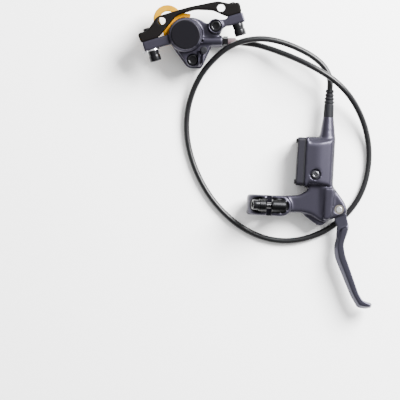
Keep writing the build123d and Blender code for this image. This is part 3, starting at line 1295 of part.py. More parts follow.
HOSE_FLOOR = HOSE_R
HOSE_RUN_OUT = 26.1
HOSE_RUN_IN = 49.0
HOSE_START = CALIPER_SOCKET + INSERT_HEAD
HOSE_END = LEVER_SOCKET + INSERT_HEAD
HOSE_ROUTE = [
    tuple(PORT_PLANE.from_local_coords((0, 0, HOSE_START))),
    tuple(PORT_PLANE.from_local_coords((0, 0, HOSE_START + HOSE_RUN_OUT))),
    (17.0, 88.4, 13.5),
    (45.0, 76.0, 24.5),
    (72.0, 59.0, 22.5),
    (89.5, 33.0, 8.5),
    (96.4, 1.0, HOSE_FLOOR),
    (89.4, -33.0, HOSE_FLOOR),
    (68.5, -57.6, HOSE_FLOOR),
    (41.5, -70.8, HOSE_FLOOR),
    (13.5, -72.2, HOSE_FLOOR),
    (-13.2, -61.2, HOSE_FLOOR),
    (-36.6, -39.6, HOSE_FLOOR),
    (-52.6, -11.4, HOSE_FLOOR),
    (-60.2, 18.8, HOSE_FLOOR),
    (-57.4, 47.5, 4.5),
    (-44.2, 74.5, 11.0),
    (-18.0, 97.0, 18.0),
    (17.5, 99.2, 15.5),
    tuple(AXIS_PLANE.from_local_coords((0, 0, HOSE_END + HOSE_RUN_IN))),
    tuple(AXIS_PLANE.from_local_coords((0, 0, HOSE_END))),
]
hose_radii = corner_radii(HOSE_ROUTE, 0.45, False)
with BuildPart() as hose:
    with BuildLine() as hose_path:
        FilletPolyline(*HOSE_ROUTE, radius=hose_radii)
    with BuildSketch(Plane(origin=hose_path.line @ 0, z_dir=hose_path.line % 0)):
        Circle(HOSE_R)
    sweep()
hose.part.label = "hose"
export_step(hose.part, "parts/hose.step")
print("hose arc radii", [round(radius, 1) for radius in hose_radii])
hose_length = sum(edge.length for edge in hose_path.edges())
print("hose length", round(hose_length, 1))
print("hose volume over section times length", hose.part.volume / (pi * HOSE_R**2 * hose_length))
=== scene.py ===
import bpy
import bmesh
import math
from mathutils import Matrix, Vector
from mathutils.bvhtree import BVHTree


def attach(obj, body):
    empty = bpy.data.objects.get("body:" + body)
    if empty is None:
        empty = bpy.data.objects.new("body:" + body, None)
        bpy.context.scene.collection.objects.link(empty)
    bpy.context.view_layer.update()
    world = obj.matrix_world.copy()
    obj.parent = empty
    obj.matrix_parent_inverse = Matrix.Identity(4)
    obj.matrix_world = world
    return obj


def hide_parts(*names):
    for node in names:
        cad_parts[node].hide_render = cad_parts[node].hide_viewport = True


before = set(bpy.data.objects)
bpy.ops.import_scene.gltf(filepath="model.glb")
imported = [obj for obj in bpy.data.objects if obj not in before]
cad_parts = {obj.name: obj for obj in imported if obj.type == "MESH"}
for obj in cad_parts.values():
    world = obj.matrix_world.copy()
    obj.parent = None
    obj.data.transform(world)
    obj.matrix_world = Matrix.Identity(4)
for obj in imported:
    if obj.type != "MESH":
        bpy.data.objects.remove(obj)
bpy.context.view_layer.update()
scene = bpy.context.scene


# Camera. The brake was photographed lying on a table, from straight above and from far off,
# 0.84 mm to a pixel across a square picture of 400 pixels.
VIEW_WIDTH = 400 * 0.84 / 1000
VIEW_CENTRE = Vector((-47.8, -37.1, 15.0)) / 1000
CAMERA_HEIGHT = 3.0
SENSOR_MM = 36.0
camera_data = bpy.data.cameras.new("camera")
camera_data.sensor_width = SENSOR_MM
camera_data.lens = SENSOR_MM * CAMERA_HEIGHT / VIEW_WIDTH
camera_data.clip_end = 20.0
camera = bpy.data.objects.new("camera", camera_data)
camera.location = VIEW_CENTRE + Vector((0, 0, CAMERA_HEIGHT))
scene.collection.objects.link(camera)
scene.camera = camera


# Hose. A smooth black nylon hose of 5 mm, stiff enough to lie in one loose turn, that runs
# from the caliper's nut, passes over its own far end and goes into the lever's boot. The first
# two points lie on the nut's axis and the last three on the boot's, so that it enters straight.
HOSE_DIAMETER = 0.005
HOSE_ROUTE_MM = [
    (-34.6, 96.2, 6.4),
    (-8.5, 96.2, 6.4),
    (17.0, 88.4, 13.5),
    (45.0, 76.0, 24.5),
    (72.0, 59.0, 22.5),
    (89.5, 33.0, 8.5),
    (96.4, 1.0, 2.5),
    (89.4, -33.0, 2.5),
    (68.5, -57.6, 2.5),
    (41.5, -70.8, 2.5),
    (13.5, -72.2, 2.5),
    (-13.2, -61.2, 2.5),
    (-36.6, -39.6, 2.5),
    (-52.6, -11.4, 2.5),
    (-60.2, 18.8, 2.5),
    (-57.4, 47.5, 4.5),
    (-44.2, 74.5, 11.0),
    (-18.0, 97.0, 18.0),
    (17.5, 99.2, 15.5),
    (62.424, 75.905, 13.0),
    (60.723, 43.449, 13.0),
    (59.860, 26.972, 13.0),
]


def linear(hexa):
    """Linear colour of an sRGB hex value."""
    channels = [int(hexa[i:i + 2], 16) / 255 for i in (1, 3, 5)]
    return [c / 12.92 if c <= 0.04045 else ((c + 0.055) / 1.055) ** 2.4 for c in channels] + [1.0]


def add_node(tree, kind, values=(), links=(), **settings):
    """Adds a node to a tree with its settings, its socket values and the links into it."""
    made = tree.nodes.new(kind)
    for name, value in settings.items():
        setattr(made, name, value)
    for socket, value in dict(values).items():
        made.inputs[socket].default_value = value
    for socket, source in dict(links).items():
        tree.links.new(source, made.inputs[socket])
    return made


GRAIN_DETAIL = 3.0
TONES_APART = (0.3, 0.7)
BUMP_STRENGTH = 0.6


def finish(name, tones, grain_mm, bump_mm, round_mm, **sockets):
    """Finish whose colour wanders between two tones in patches of a grain size, with a fine bump
    and edges that catch the light over a small rounding."""
    material = bpy.data.materials.new(name)
    material.use_nodes = True
    tree = material.node_tree
    shader = tree.nodes["Principled BSDF"]
    for socket, value in sockets.items():
        shader.inputs[socket.replace("_", " ")].default_value = value
    place = add_node(tree, "ShaderNodeTexCoord", name="place").outputs["Object"]
    grain = add_node(
        tree,
        "ShaderNodeTexNoise",
        {"Scale": 1000 / grain_mm, "Detail": GRAIN_DETAIL},
        {"Vector": place},
    )
    ramp = add_node(tree, "ShaderNodeValToRGB", links={"Fac": grain.outputs["Fac"]}, name="tones")
    for stop, position, tone in zip(ramp.color_ramp.elements, TONES_APART, tones):
        stop.position = position
        stop.color = linear(tone)
    tree.links.new(ramp.outputs["Color"], shader.inputs["Base Color"])
    rounding = add_node(tree, "ShaderNodeBevel", {"Radius": round_mm / 1000})
    bump = add_node(
        tree,
        "ShaderNodeBump",
        {"Strength": BUMP_STRENGTH, "Distance": bump_mm / 1000},
        {"Height": grain.outputs["Fac"], "Normal": rounding.outputs["Normal"]},
    )
    tree.links.new(bump.outputs["Normal"], shader.inputs["Normal"])
    return material


def settle(piece, body, node):
    """Puts a finished piece on its body in the place of its CAD node."""
    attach(piece, body)
    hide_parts(node)


# Near black with one soft streak of light along the top of the hose.
nylon = finish(
    "extruded_black_nylon",
    ("#070709", "#0A0A0C"),
    grain_mm=2.0,
    bump_mm=0.01,
    round_mm=0.2,
    Roughness=0.34,
    Specular_IOR_Level=0.3,
)
hose_curve = bpy.data.curves.new("brake_hose", "CURVE")
hose_curve.dimensions = "3D"
hose_curve.bevel_depth = HOSE_DIAMETER / 2
hose_curve.bevel_resolution = 8
hose_curve.use_fill_caps = True
hose_line = hose_curve.splines.new("NURBS")
hose_line.points.add(len(HOSE_ROUTE_MM) - 1)
for point, (x, y, z) in zip(hose_line.points, HOSE_ROUTE_MM):
    point.co = (x / 1000, y / 1000, z / 1000, 1.0)
hose_line.order_u = 3
hose_line.use_endpoint_u = True
hose_line.resolution_u = 16
hose_curve.materials.append(nylon)
hose = bpy.data.objects.new("brake_hose", hose_curve)
scene.collection.objects.link(hose)
settle(hose, "brake", "hose")


# Caliper halves. Forged aluminium, anodised a satin near-black with a violet cast that shows
# broad soft highlights. The forging's corners are soft, its bores and seats are machined.
def level_frame(origin, turn):
    """Matrix of a level frame of the object, from its origin in mm and its turn in degrees."""
    return Matrix.Translation(Vector(origin) / 1000) @ Matrix.Rotation(math.radians(turn), 4, "Z")


SAME_POINT = 1e-6
SEAT_REACH = 0.0007


def cast(name, node, voxel_mm, passes, bores, material):
    """Soft copy of a casting: its corners run into each other as in a mould, while bores, given
    as frame, axis point, axis and radius, and every seat of another piece stay machined."""
    shape = bmesh.new()
    shape.from_mesh(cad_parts[node].data)
    bmesh.ops.remove_doubles(shape, verts=shape.verts, dist=SAME_POINT)
    machined = BVHTree.FromBMesh(shape)
    rough = bpy.data.meshes.new(name)
    shape.to_mesh(rough)
    shape.clear()
    for other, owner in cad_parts.items():
        if other != node:
            shape.from_mesh(owner.data)
    neighbours = BVHTree.FromBMesh(shape)
    shape.clear()
    piece = bpy.data.objects.new(name, rough)
    scene.collection.objects.link(piece)
    mould = piece.modifiers.new("mould", "REMESH")
    mould.mode = "VOXEL"
    mould.voxel_size = voxel_mm / 1000
    shape.from_mesh(piece.evaluated_get(bpy.context.evaluated_depsgraph_get()).to_mesh())
    piece.modifiers.clear()
    axes = []
    for where, point, along, radius in bores:
        start = where @ (Vector(point) / 1000)
        axes.append((start, (where.to_3x3() @ Vector(along)).normalized(), radius / 1000))
    kept = []
    free = []
    for vert in shape.verts:
        bored = any((vert.co - at).cross(way).length < reach for at, way, reach in axes)
        seated = neighbours.find_nearest(vert.co, SEAT_REACH)[0] is not None
        (kept if bored or seated else free).append(vert)
    for _ in range(passes):
        bmesh.ops.smooth_vert(
            shape, verts=free, factor=0.5, use_axis_x=True, use_axis_y=True, use_axis_z=True
        )
    for vert in kept:
        vert.co = machined.find_nearest(vert.co)[0]
    smooth = bpy.data.meshes.new(name)
    shape.to_mesh(smooth)
    shape.free()
    smooth.shade_smooth()
    smooth.materials.append(material)
    piece.data = smooth
    return piece


def mark(piece, layer, share):
    """Writes a share from 0 to 1 of a patch's finish on each vertex of a piece."""
    values = [share(vert.co * 1000) for vert in piece.data.vertices]
    piece.data.attributes.new(layer, "FLOAT", "POINT").data.foreach_set("value", values)


# Sockets of a Mix node that mixes colours, by number, because several share a name.
MIX_FACTOR = 0
MIX_FROM = 6
MIX_TO = 7
MIXED = 2


def patch(material, layer, tone, roughness):
    """Gives a finish another tone and roughness where a piece is marked."""
    tree = material.node_tree
    shader = tree.nodes["Principled BSDF"]
    mask = add_node(tree, "ShaderNodeAttribute", attribute_name=layer).outputs["Fac"]
    base = shader.inputs["Base Color"].links[0].from_socket
    colour = add_node(
        tree,
        "ShaderNodeMix",
        {MIX_TO: linear(tone)},
        {MIX_FACTOR: mask, MIX_FROM: base},
        data_type="RGBA",
    )
    tree.links.new(colour.outputs[MIXED], shader.inputs["Base Color"])
    gloss = add_node(
        tree,
        "ShaderNodeMapRange",
        {"To Min": shader.inputs["Roughness"].default_value, "To Max": roughness},
        {"Value": mask},
    )
    tree.links.new(gloss.outputs["Result"], shader.inputs["Roughness"])


HUB = (-59.9, 100.9, 0)
CALIPER = level_frame(HUB, 0)
UPRIGHT = (0, 0, 1)
CAP_R = 12.2
CAP_EDGE_Z = 36.3
BOSS_BOLT = (25.1, 7.3)
LOBE_BOLT = (5.8, -20.7)
BOLT_BORE_R = 5.2
FITTING_AXIS = (0, -4.7, 6.4)
FITTING_BORE_R = 3.7
# Satin near-black with a violet cast: broad grey highlights on the crests, dark flats.
anodised = finish(
    "satin_black_anodised_aluminium",
    ("#2C2A34", "#32303A"),
    grain_mm=0.5,
    bump_mm=0.008,
    round_mm=0.3,
    Metallic=0.85,
    Roughness=0.36,
)
# The cap is turned and blasted, so that it looks matte and darker than the forging round it.
patch(anodised, "cap", "#121116", 0.6)
CALIPER_BORES = [
    (CALIPER, (0, 0, 0), UPRIGHT, CAP_R + 0.1),
    (CALIPER, (*BOSS_BOLT, 0), UPRIGHT, BOLT_BORE_R),
    (CALIPER, (*LOBE_BOLT, 0), UPRIGHT, BOLT_BORE_R),
    (CALIPER, FITTING_AXIS, (1, 0, 0), FITTING_BORE_R),
]


def capped(co):
    """Share of the cap's finish at a point in mm."""
    return float(co.z > CAP_EDGE_Z and (co - CALIPER.translation * 1000).xy.length < CAP_R)


for node in ("caliper_outer_half", "caliper_inner_half"):
    half = cast(
        node + "_forging",
        node,
        voxel_mm=0.5,
        passes=6,
        bores=CALIPER_BORES,
        material=anodised,
    )
    mark(half, "cap", capped)
    settle(half, "brake", node)


# Pistons and their seals. Grey-brown phenolic resin in square rubber rings, out of sight in the
# bores but for the rims that press on the pads.
def dress(material, *names):
    """Gives CAD nodes a finish."""
    for name in names:
        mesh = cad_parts[name].data
        mesh.materials.clear()
        mesh.materials.append(material)


# Dull grey-brown, with a faint mottle.
resin = finish(
    "moulded_phenolic_resin",
    ("#3A362F", "#443F38"),
    grain_mm=0.8,
    bump_mm=0.02,
    round_mm=0.2,
    Roughness=0.55,
)
dress(resin, "outer_piston", "inner_piston")
# Soft black, with no sharp glint anywhere.
rubber = finish(
    "moulded_black_rubber",
    ("#0D0D10", "#131317"),
    grain_mm=0.8,
    bump_mm=0.02,
    round_mm=0.2,
    Roughness=0.55,
    Specular_IOR_Level=0.12,
)
dress(rubber, "outer_piston_seal", "inner_piston_seal", "crossover_o_ring")


# Pads. Zinc-plated steel plates with a dark pressed compound, kept apart by a bright leaf
# spring and held by a bright pin.

# Soft silver grey that blurs what it reflects.
zinc = finish(
    "zinc_plated_steel",
    ("#A9A9AC", "#BDBDC2"),
    grain_mm=1.2,
    bump_mm=0.01,
    round_mm=0.2,
    Metallic=1.0,
    Roughness=0.35,
)
dress(zinc, "outer_pad_plate", "inner_pad_plate")
# Speckled dark and light brown, rough as pressed grit.
compound = finish(
    "pressed_friction_compound",
    ("#3B2F2A", "#6A5A4E"),
    grain_mm=0.5,
    bump_mm=0.08,
    round_mm=0.2,
    Roughness=0.85,
)
dress(compound, "outer_pad_lining", "inner_pad_lining")
# Clear silver, the brightest points of the brake.
steel = finish(
    "bright_steel",
    ("#C9C9CC", "#DEDEE2"),
    grain_mm=1.0,
    bump_mm=0.003,
    round_mm=0.2,
    Metallic=1.0,
    Roughness=0.2,
)
dress(steel, "pad_spring", "pad_pin")


# Body bolts. Two black M6 socket screws that clamp the halves together, one in the boss beside
# the cap and one in the lower lobe.
def hex_flats(angle):
    """Reach of a hexagon at an angle, by its half width."""
    return 1 / math.cos(angle % (math.pi / 3) - math.pi / 6)


def socket_screw(length, shank, head_radius, head, key, depth):
    """Socket screw along z, its seat at height nought: rings from the bevelled tip up over the
    head's rounded edge and down into the countersunk key, each a height, a radius and an
    outline."""
    return [
        (-length, shank - 0.5, None),
        (-length + 0.5, shank, None),
        (0, shank, None),
        (0, head_radius - 0.25, None),
        (0.25, head_radius, None),
        (head * 0.85, head_radius, None),
        (head * 0.95, head_radius - 0.2, None),
        (head, head_radius - 0.6, None),
        (head, key * 1.2 + 0.25, None),
        (head - 0.3, key, hex_flats),
        (head - depth, key, hex_flats),
    ]


def aimed(where, point, along):
    """Matrix of a point in mm and a direction in a level frame, its z axis along the direction."""
    turn = Vector(along).to_track_quat("Z", "Y").to_matrix().to_4x4()
    return where @ Matrix.Translation(Vector(point) / 1000) @ turn


SIDES = 48
SHARP = math.radians(35)


def turned(name, copies, material):
    """Object turned from rings on the z axis of a matrix, once for each copy, ends closed."""
    shape = bmesh.new()
    for rings, where in copies:
        loops = []
        for height, radius, outline in rings:
            loop = []
            for i in range(SIDES):
                angle = 2 * math.pi * i / SIDES
                reach = radius * outline(angle) if outline else radius
                corner = Vector((reach * math.cos(angle), reach * math.sin(angle), height))
                loop.append(shape.verts.new(where @ (corner / 1000)))
            loops.append(loop)
        for low, high in zip(loops, loops[1:]):
            for i in range(SIDES):
                j = (i + 1) % SIDES
                shape.faces.new((low[i], low[j], high[j], high[i]))
        shape.faces.new(loops[0][::-1])
        shape.faces.new(loops[-1])
    bmesh.ops.recalc_face_normals(shape, faces=shape.faces)
    mesh = bpy.data.meshes.new(name)
    shape.to_mesh(mesh)
    shape.free()
    mesh.shade_smooth()
    mesh.set_sharp_from_angle(angle=SHARP)
    mesh.materials.append(material)
    piece = bpy.data.objects.new(name, mesh)
    scene.collection.objects.link(piece)
    return piece


M6_SHANK_R = 3.0
KEY = 2.494
KEY_DEPTH = 3.0
BODY_BOLT_TIP_Z = 6.0
BODY_BOLT_SEATS = ((*BOSS_BOLT, 28.0), (*LOBE_BOLT, 21.5))
BODY_BOLT_HEAD_R = 4.6
BODY_BOLT_HEAD = 5.0
# Oiled black oxide: a tight bright glint on an almost black head.
oxide = finish(
    "black_oxide_steel",
    ("#121214", "#18181B"),
    grain_mm=0.6,
    bump_mm=0.004,
    round_mm=0.25,
    Metallic=0.7,
    Roughness=0.22,
)
body_screws = []
for seat in BODY_BOLT_SEATS:
    length = seat[2] - BODY_BOLT_TIP_Z
    rings = socket_screw(length, M6_SHANK_R, BODY_BOLT_HEAD_R, BODY_BOLT_HEAD, KEY, KEY_DEPTH)
    body_screws.append((rings, aimed(CALIPER, seat, UPRIGHT)))
body_bolts = turned("body_bolts", body_screws, oxide)
settle(body_bolts, "brake", "caliper_body_bolts")


# Bleed nipple and its rubber cap, and the hose's nut, sleeve, insert and olive. Blackened steel,
# black and brown rubber, and plain brass inside.
dress(oxide, "bleed_nipple", "caliper_hose_nut")
dress(rubber, "bleed_nipple_cap")
# Dusty red-brown, the one warm tone beside the hose.
brown_rubber = finish(
    "brown_rubber_sleeve",
    ("#4A3A3E", "#574649"),
    grain_mm=1.0,
    bump_mm=0.02,
    round_mm=0.2,
    Roughness=0.6,
)
dress(brown_rubber, "caliper_hose_sleeve")
# Plain yellow metal, lightly tarnished.
brass = finish(
    "turned_brass",
    ("#B08A4A", "#C39C58"),
    grain_mm=1.5,
    bump_mm=0.005,
    round_mm=0.2,
    Metallic=1.0,
    Roughness=0.3,
)
dress(brass, "hose_inserts", "hose_olives")


# Adapter. A forged aluminium bracket with a matte brown-black coat that arches over the pads,
# with two clear holes for the frame's bolts.
ADAPTER_TURN = 16.8
MOUNT = level_frame(HUB, ADAPTER_TURN)
ADAPTER_HOLE_R = 3.8
ADAPTER_HOLES = [
    (MOUNT, (-15.8, 17.0, 0), UPRIGHT, ADAPTER_HOLE_R),
    (MOUNT, (35.05, 13.087, 0), UPRIGHT, ADAPTER_HOLE_R),
]
# Matte and a little brown, so that only its rounded edges show.
matte_black = finish(
    "matte_black_coat",
    ("#070606", "#0B0909"),
    grain_mm=0.4,
    bump_mm=0.02,
    round_mm=0.3,
    Roughness=0.5,
    Specular_IOR_Level=0.05,
)
adapter = cast(
    "adapter_forging",
    "mount_adapter",
    voxel_mm=0.5,
    passes=5,
    bores=ADAPTER_HOLES,
    material=matte_black,
)
settle(adapter, "brake", "mount_adapter")


# Post mount bolts. Two long M6 socket screws through the caliper's ears into the adapter, each
# on a domed and a dished washer, with a flat steel clip round them.

# Sockets of a Random Value node that gives a float, by number for the same reason.
RANDOM_MAX = 3
RANDOM_FLOAT = 1


def build_repeats():
    """Node tree that stands a pattern on points, each along its own axis and turned at random."""
    tree = bpy.data.node_groups.new("repeats", "GeometryNodeTree")
    for socket, kind in (
        ("Geometry", "NodeSocketGeometry"),
        ("Piece", "NodeSocketObject"),
        ("Finish", "NodeSocketMaterial"),
        ("Turn", "NodeSocketFloat"),
        ("Seed", "NodeSocketInt"),
    ):
        tree.interface.new_socket(socket, in_out="INPUT", socket_type=kind)
    tree.interface.new_socket("Geometry", in_out="OUTPUT", socket_type="NodeSocketGeometry")
    given = add_node(tree, "NodeGroupInput").outputs
    pattern = add_node(tree, "GeometryNodeObjectInfo", links={"Object": given["Piece"]})
    axis = add_node(
        tree, "GeometryNodeInputNamedAttribute", {"Name": "axis"}, data_type="FLOAT_VECTOR"
    )
    aim = add_node(
        tree,
        "FunctionNodeAlignRotationToVector",
        links={"Vector": next(s for s in axis.outputs if s.enabled and s.type == "VECTOR")},
        axis="Z",
    )
    chance = add_node(
        tree, "FunctionNodeRandomValue", links={RANDOM_MAX: given["Turn"], "Seed": given["Seed"]}
    )
    twist = add_node(
        tree,
        "FunctionNodeAxisAngleToRotation",
        {"Axis": UPRIGHT},
        {"Angle": chance.outputs[RANDOM_FLOAT]},
    )
    stance = add_node(
        tree,
        "FunctionNodeRotateRotation",
        links={"Rotation": aim.outputs[0], "Rotate By": twist.outputs[0]},
        rotation_space="LOCAL",
    )
    stood = add_node(
        tree,
        "GeometryNodeInstanceOnPoints",
        links={
            "Points": given["Geometry"],
            "Instance": pattern.outputs["Geometry"],
            "Rotation": stance.outputs[0],
        },
    )
    real = add_node(tree, "GeometryNodeRealizeInstances", links={0: stood.outputs[0]})
    dressed = add_node(
        tree,
        "GeometryNodeSetMaterial",
        links={"Geometry": real.outputs[0], "Material": given["Finish"]},
    )
    add_node(tree, "NodeGroupOutput", links={"Geometry": dressed.outputs[0]})
    return tree


def repeat(name, pattern, places, material, turn):
    """Object of one plain mesh that repeats a pattern at matrices, each copy turned by up to an
    angle, and takes the pattern's place."""
    points = bpy.data.meshes.new(name)
    points.from_pydata([where.translation for where in places], [], [])
    axes = [c for where in places for c in where.to_3x3() @ Vector(UPRIGHT)]
    points.attributes.new("axis", "FLOAT_VECTOR", "POINT").data.foreach_set("vector", axes)
    piece = bpy.data.objects.new(name, points)
    scene.collection.objects.link(piece)
    maker = piece.modifiers.new("repeats", "NODES")
    maker.node_group = repeats
    values = {"Piece": pattern, "Finish": material, "Turn": turn, "Seed": SEED}
    for socket in repeats.interface.items_tree:
        if socket.in_out == "INPUT" and socket.name in values:
            maker[socket.identifier] = values[socket.name]
    bpy.context.view_layer.update()
    made = piece.evaluated_get(bpy.context.evaluated_depsgraph_get())
    solid = bpy.data.meshes.new_from_object(made)
    piece.modifiers.clear()
    piece.data = solid
    bpy.data.objects.remove(pattern)
    return piece


SEED = 7
POST_LEFT = -29.9
POST_RIGHT = 44.3
POST_SEAT = -8.6
POST_Z = 27.2
POST_BOLT_LENGTH = 23.6
POST_HEAD_R = 4.8
POST_HEAD = 5.2
repeats = build_repeats()
post_rings = socket_screw(POST_BOLT_LENGTH, M6_SHANK_R, POST_HEAD_R, POST_HEAD, KEY, KEY_DEPTH)
post_bolts = repeat(
    "post_bolts",
    turned("post_bolt", [(post_rings, Matrix())], oxide),
    [aimed(MOUNT, (u, POST_SEAT, POST_Z), (0, -1, 0)) for u in (POST_LEFT, POST_RIGHT)],
    oxide,
    turn=1.0,
)
settle(post_bolts, "brake", "post_mount_bolts")
dress(oxide, "domed_washers", "dished_washers")
dress(steel, "bolt_lock_clip")


# Spacer. Moulded in a yellow plastic, with a loop to pull it out by. Where it stands between the
# pads and beside the cap it lies in shade, which is painted on as deep orange.
# Radii from the hub inside which the painted shade is full, and outside which there is none.
SHADE_FULL_R = 17.0
SHADE_NONE_R = 24.0
# Warm yellow at the loop, with painted shade in deep orange near the hub.
yellow = finish(
    "yellow_moulded_plastic",
    ("#946A00", "#9E7400"),
    grain_mm=3.0,
    bump_mm=0.01,
    round_mm=0.3,
    Roughness=0.5,
    Specular_IOR_Level=0.02,
)
tree = yellow.node_tree
flat = add_node(
    tree,
    "ShaderNodeVectorMath",
    {1: (1, 1, 0)},
    {0: tree.nodes["place"].outputs["Object"]},
    operation="MULTIPLY",
)
from_hub = add_node(
    tree,
    "ShaderNodeVectorMath",
    {1: CALIPER.translation},
    {0: flat.outputs["Vector"]},
    operation="DISTANCE",
)
hub_shade = add_node(
    tree,
    "ShaderNodeMapRange",
    {"From Min": SHADE_FULL_R / 1000, "From Max": SHADE_NONE_R / 1000, "To Min": 1.0, "To Max": 0.0},
    {"Value": from_hub.outputs["Value"]},
)
# Painted shade: deep orange mixed in towards the hub.
shade = add_node(
    tree,
    "ShaderNodeMix",
    {MIX_TO: linear("#CE8A00")},
    {MIX_FACTOR: hub_shade.outputs["Result"], MIX_FROM: tree.nodes["tones"].outputs["Color"]},
    data_type="RGBA",
)
tree.links.new(shade.outputs[MIXED], tree.nodes["Principled BSDF"].inputs["Base Color"])
spacer = cast(
    "spacer_moulding", "pad_spacer", voxel_mm=0.35, passes=4, bores=[], material=yellow
)
settle(spacer, "brake", "pad_spacer")


# Lever body. One aluminium casting of cylinder, reservoir and bar clamp in the caliper's finish,
# its clamp bolt sunk in a glossy pocket with painted shade in near black.
PIVOT = (68.9, -45.1, 0)
LEVER_TURN = -3
LEVER = level_frame(PIVOT, LEVER_TURN)
POCKET_MIDDLE = (-59.0, 0.4)
POCKET_LENGTH = 33.0
POCKET_WIDTH = 12.8
POCKET_LOW_Z = 24.0
CYLINDER_AXIS = (-12.8, 0, 13.0)
CYLINDER_BORE_R = 5.8
PIVOT_BORE_R = 4.4
BAR_AXIS = (-62.2, 0, 15.6)
BAR_BORE_R = 11.7
BLEED_AT = (-21.5, 28.2)
BLEED_RECESS_R = 4.9
LEVER_BORES = [
    (LEVER, CYLINDER_AXIS, (0, 1, 0), CYLINDER_BORE_R),
    (LEVER, (0, 0, 0), UPRIGHT, PIVOT_BORE_R),
    (LEVER, BAR_AXIS, (0, 1, 0), BAR_BORE_R),
    (LEVER, (*BLEED_AT, 0), UPRIGHT, BLEED_RECESS_R),
]


def pocketed(co):
    """Share of the pocket's painted shade and gloss at a point in mm."""
    local = LEVER.inverted() @ (co / 1000) * 1000
    past = max(abs(local.x - POCKET_MIDDLE[0]) - (POCKET_LENGTH - POCKET_WIDTH) / 2, 0)
    across = math.hypot(past, local.y - POCKET_MIDDLE[1])
    return float(local.z > POCKET_LOW_Z and across < POCKET_WIDTH / 2)


# Painted shade: the pocket is coloured near black for the shade in the recess, and made glossier
# so that its walls throw sharp glints round the bolt.
patch(anodised, "pocket", "#08080A", 0.15)
lever_casting = cast(
    "lever_casting",
    "lever_body",
    voxel_mm=0.6,
    passes=14,
    bores=LEVER_BORES,
    material=anodised,
)
# Marks where the painted shade of the pocket goes.
mark(lever_casting, "pocket", pocketed)
settle(lever_casting, "brake", "lever_body")


# Reservoir lid, its four small cross-head screws and the diaphragm under it. The lid is moulded
# in a matte black plastic.
CROSS_ARM = 0.25


def cross(angle):
    """Reach of a cross recess at an angle, by the length of its arms."""
    off = abs((angle + math.pi / 4) % (math.pi / 2) - math.pi / 4)
    return 1 / math.cos(off) if math.tan(off) < CROSS_ARM else CROSS_ARM / math.sin(off)


# A shade darker and duller than the casting beside it.
lid_plastic = finish(
    "moulded_black_plastic",
    ("#121117", "#17161C"),
    grain_mm=0.6,
    bump_mm=0.02,
    round_mm=0.3,
    Roughness=0.45,
    Specular_IOR_Level=0.15,
)
dress(lid_plastic, "reservoir_lid")
dress(rubber, "diaphragm")
LID_X = -37.6
LID_MIDDLE = (38.8, 12.0)
LID_SCREW_OFF = (17.2, 8.0)
# Rings like those of a socket screw, but with a cross recess.
LID_SCREW = [
    (-10.0, 0.7, None),
    (-9.6, 1.0, None),
    (0, 1.0, None),
    (0, 1.8, None),
    (0.1, 1.9, None),
    (0.8, 1.9, None),
    (1.1, 1.7, None),
    (1.2, 1.4, None),
    (1.2, 1.2, cross),
    (0.5, 1.1, cross),
]
lid_corners = []
for along, up in ((-1, -1), (-1, 1), (1, -1), (1, 1)):
    y = LID_MIDDLE[0] + along * LID_SCREW_OFF[0]
    z = LID_MIDDLE[1] + up * LID_SCREW_OFF[1]
    lid_corners.append(aimed(LEVER, (LID_X, y, z), (-1, 0, 0)))
lid_screws = repeat(
    "lid_screws_set",
    turned("lid_screw", [(LID_SCREW, Matrix())], oxide),
    lid_corners,
    oxide,
    turn=1.5,
)
settle(lid_screws, "brake", "lid_screws")


# Bleed screw. A dull chromed low-headed socket screw on an O-ring, sunk in a round recess in the
# reservoir's flat. Fluid is filled in through its hole.
BLEED_SEAT_Z = 23.4
BLEED_SHANK_R = 2.5
BLEED_HEAD_R = 3.0
BLEED_HEAD = 1.2
BLEED_LENGTH = 3.4
BLEED_KEY = 1.25
BLEED_KEY_DEPTH = 1.8
# Grey metal with a soft glint, darker than the pins.
dull_steel = finish(
    "dull_chromed_steel",
    ("#4E4E52", "#5A5A5E"),
    grain_mm=0.8,
    bump_mm=0.004,
    round_mm=0.2,
    Metallic=1.0,
    Roughness=0.25,
)
bleed_rings = socket_screw(
    BLEED_LENGTH, BLEED_SHANK_R, BLEED_HEAD_R, BLEED_HEAD, BLEED_KEY, BLEED_KEY_DEPTH
)
bleed_screw = turned(
    "bleed_screw_turned",
    [(bleed_rings, aimed(LEVER, (*BLEED_AT, BLEED_SEAT_Z), UPRIGHT))],
    dull_steel,
)
settle(bleed_screw, "brake", "bleed_screw")
dress(rubber, "bleed_screw_o_ring")


# Clamp bolt and washer. A black M5 socket screw that lies on a slant across the clamp's slit and
# draws the ring tight on the bar.
CLAMP_TILT = math.radians(13)
CLAMP_OUT = Vector((-math.cos(CLAMP_TILT), 0, math.sin(CLAMP_TILT)))
CLAMP_SLIT = Vector((*POCKET_MIDDLE, 30.085))
CLAMP_SEAT = 9.8
CLAMP_LENGTH = 21.8
M5_SHANK_R = 2.5
CLAMP_HEAD_R = 4.3
CLAMP_HEAD = 4.6
clamp_rings = socket_screw(CLAMP_LENGTH, M5_SHANK_R, CLAMP_HEAD_R, CLAMP_HEAD, KEY, KEY_DEPTH)
clamp_bolt = turned(
    "clamp_bolt_turned",
    [(clamp_rings, aimed(LEVER, CLAMP_SLIT + CLAMP_SEAT * CLAMP_OUT, CLAMP_OUT))],
    oxide,
)
settle(clamp_bolt, "brake", "clamp_bolt")
dress(oxide, "clamp_washer")


# Blade. Forged aluminium in the caliper's finish, but rubbed smoother for the fingers. It turns
# on a bright pin in two resin bushes, with a small black screw that sets its reach.
PIVOT_EYE_R = 9.0
# A little lighter and glossier than the castings.
patch(anodised, "polish", "#34333D", 0.3)
blade = cast(
    "blade_forging",
    "lever_blade",
    voxel_mm=0.5,
    passes=8,
    bores=[(LEVER, (0, 0, 0), UPRIGHT, PIVOT_EYE_R)],
    material=anodised,
)
mark(blade, "polish", lambda co: 1.0)
settle(blade, "lever", "lever_blade")
dress(steel, "pivot_pin", "pivot_clip")
dress(resin, "pivot_bushes")
dress(oxide, "reach_screw")


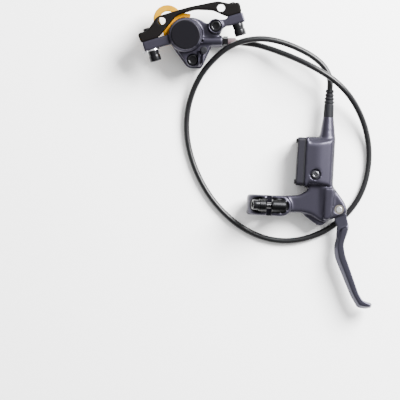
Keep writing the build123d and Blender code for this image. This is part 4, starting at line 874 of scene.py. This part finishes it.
# Master piston group. Plated piston and pushrod with two rubber cups, a wire spring, a circlip
# and a folded dust boot, all but the boot out of sight in the cylinder.
dress(zinc, "master_piston", "pushrod")
dress(rubber, "secondary_cup", "primary_cup", "dust_boot")
dress(steel, "piston_circlip", "return_spring")


# Lever end of the hose. A blackened nut, out of sight under a ribbed black rubber boot that
# keeps the hose from kinking.
dress(oxide, "lever_hose_nut")
dress(rubber, "hose_boot")


# Table and light. A plain pale board in a white room that is brighter towards the upper right,
# with a window and a skylight on that side, which leaves soft shadows at the lower left.
TABLE_HALF = 3.0
TABLE_GAP = 0.0002
floor_mesh = bpy.data.meshes.new("table")
floor_shape = bmesh.new()
bmesh.ops.create_grid(floor_shape, x_segments=1, y_segments=1, size=TABLE_HALF)
floor_shape.to_mesh(floor_mesh)
floor_shape.free()
# Even and almost white, so that only shadows show on it.
pale = bpy.data.materials.new("pale_table")
pale.use_nodes = True
board = pale.node_tree.nodes["Principled BSDF"]
board.inputs["Base Color"].default_value = linear("#FCFCFC")
board.inputs["Roughness"].default_value = 0.8
floor_mesh.materials.append(pale)
floor = bpy.data.objects.new("table", floor_mesh)
floor.location = (0, 0, -TABLE_GAP)
scene.collection.objects.link(floor)
ROOM_SLANT = 0.6
ROOM_REACH = 0.9
ROOM_DIM = 0.3
ROOM_BRIGHT = 2.1
world = bpy.data.worlds.new("studio")
world.use_nodes = True
sky = world.node_tree
facing = add_node(sky, "ShaderNodeTexCoord").outputs["Generated"]
side = add_node(sky, "ShaderNodeSeparateXYZ", links={0: facing})
rightward = add_node(
    sky, "ShaderNodeMath", {1: ROOM_SLANT}, {0: side.outputs["X"]}, operation="MULTIPLY"
)
upper_right = add_node(
    sky,
    "ShaderNodeMath",
    links={0: rightward.outputs[0], 1: side.outputs["Y"]},
    operation="ADD",
)
room = add_node(
    sky,
    "ShaderNodeMapRange",
    {
        "From Min": -ROOM_REACH,
        "From Max": ROOM_REACH,
        "To Min": ROOM_DIM,
        "To Max": ROOM_BRIGHT,
    },
    {"Value": upper_right.outputs[0]},
)
sky.nodes["Background"].inputs["Color"].default_value = (1, 1, 1, 1)
sky.links.new(room.outputs["Result"], sky.nodes["Background"].inputs["Strength"])
scene.world = world
for name, place, size, power in (
    ("window", (0.75, 0.65, 0.8), 0.7, 115.0),
    ("skylight", (1.1, 0.9, 1.3), 0.8, 30.0),
):
    lamp_data = bpy.data.lights.new(name, "AREA")
    lamp_data.size = size
    lamp_data.energy = power
    lamp = bpy.data.objects.new(name, lamp_data)
    lamp.location = place
    lamp.rotation_euler = (VIEW_CENTRE - Vector(place)).to_track_quat("-Z", "Y").to_euler()
    scene.collection.objects.link(lamp)
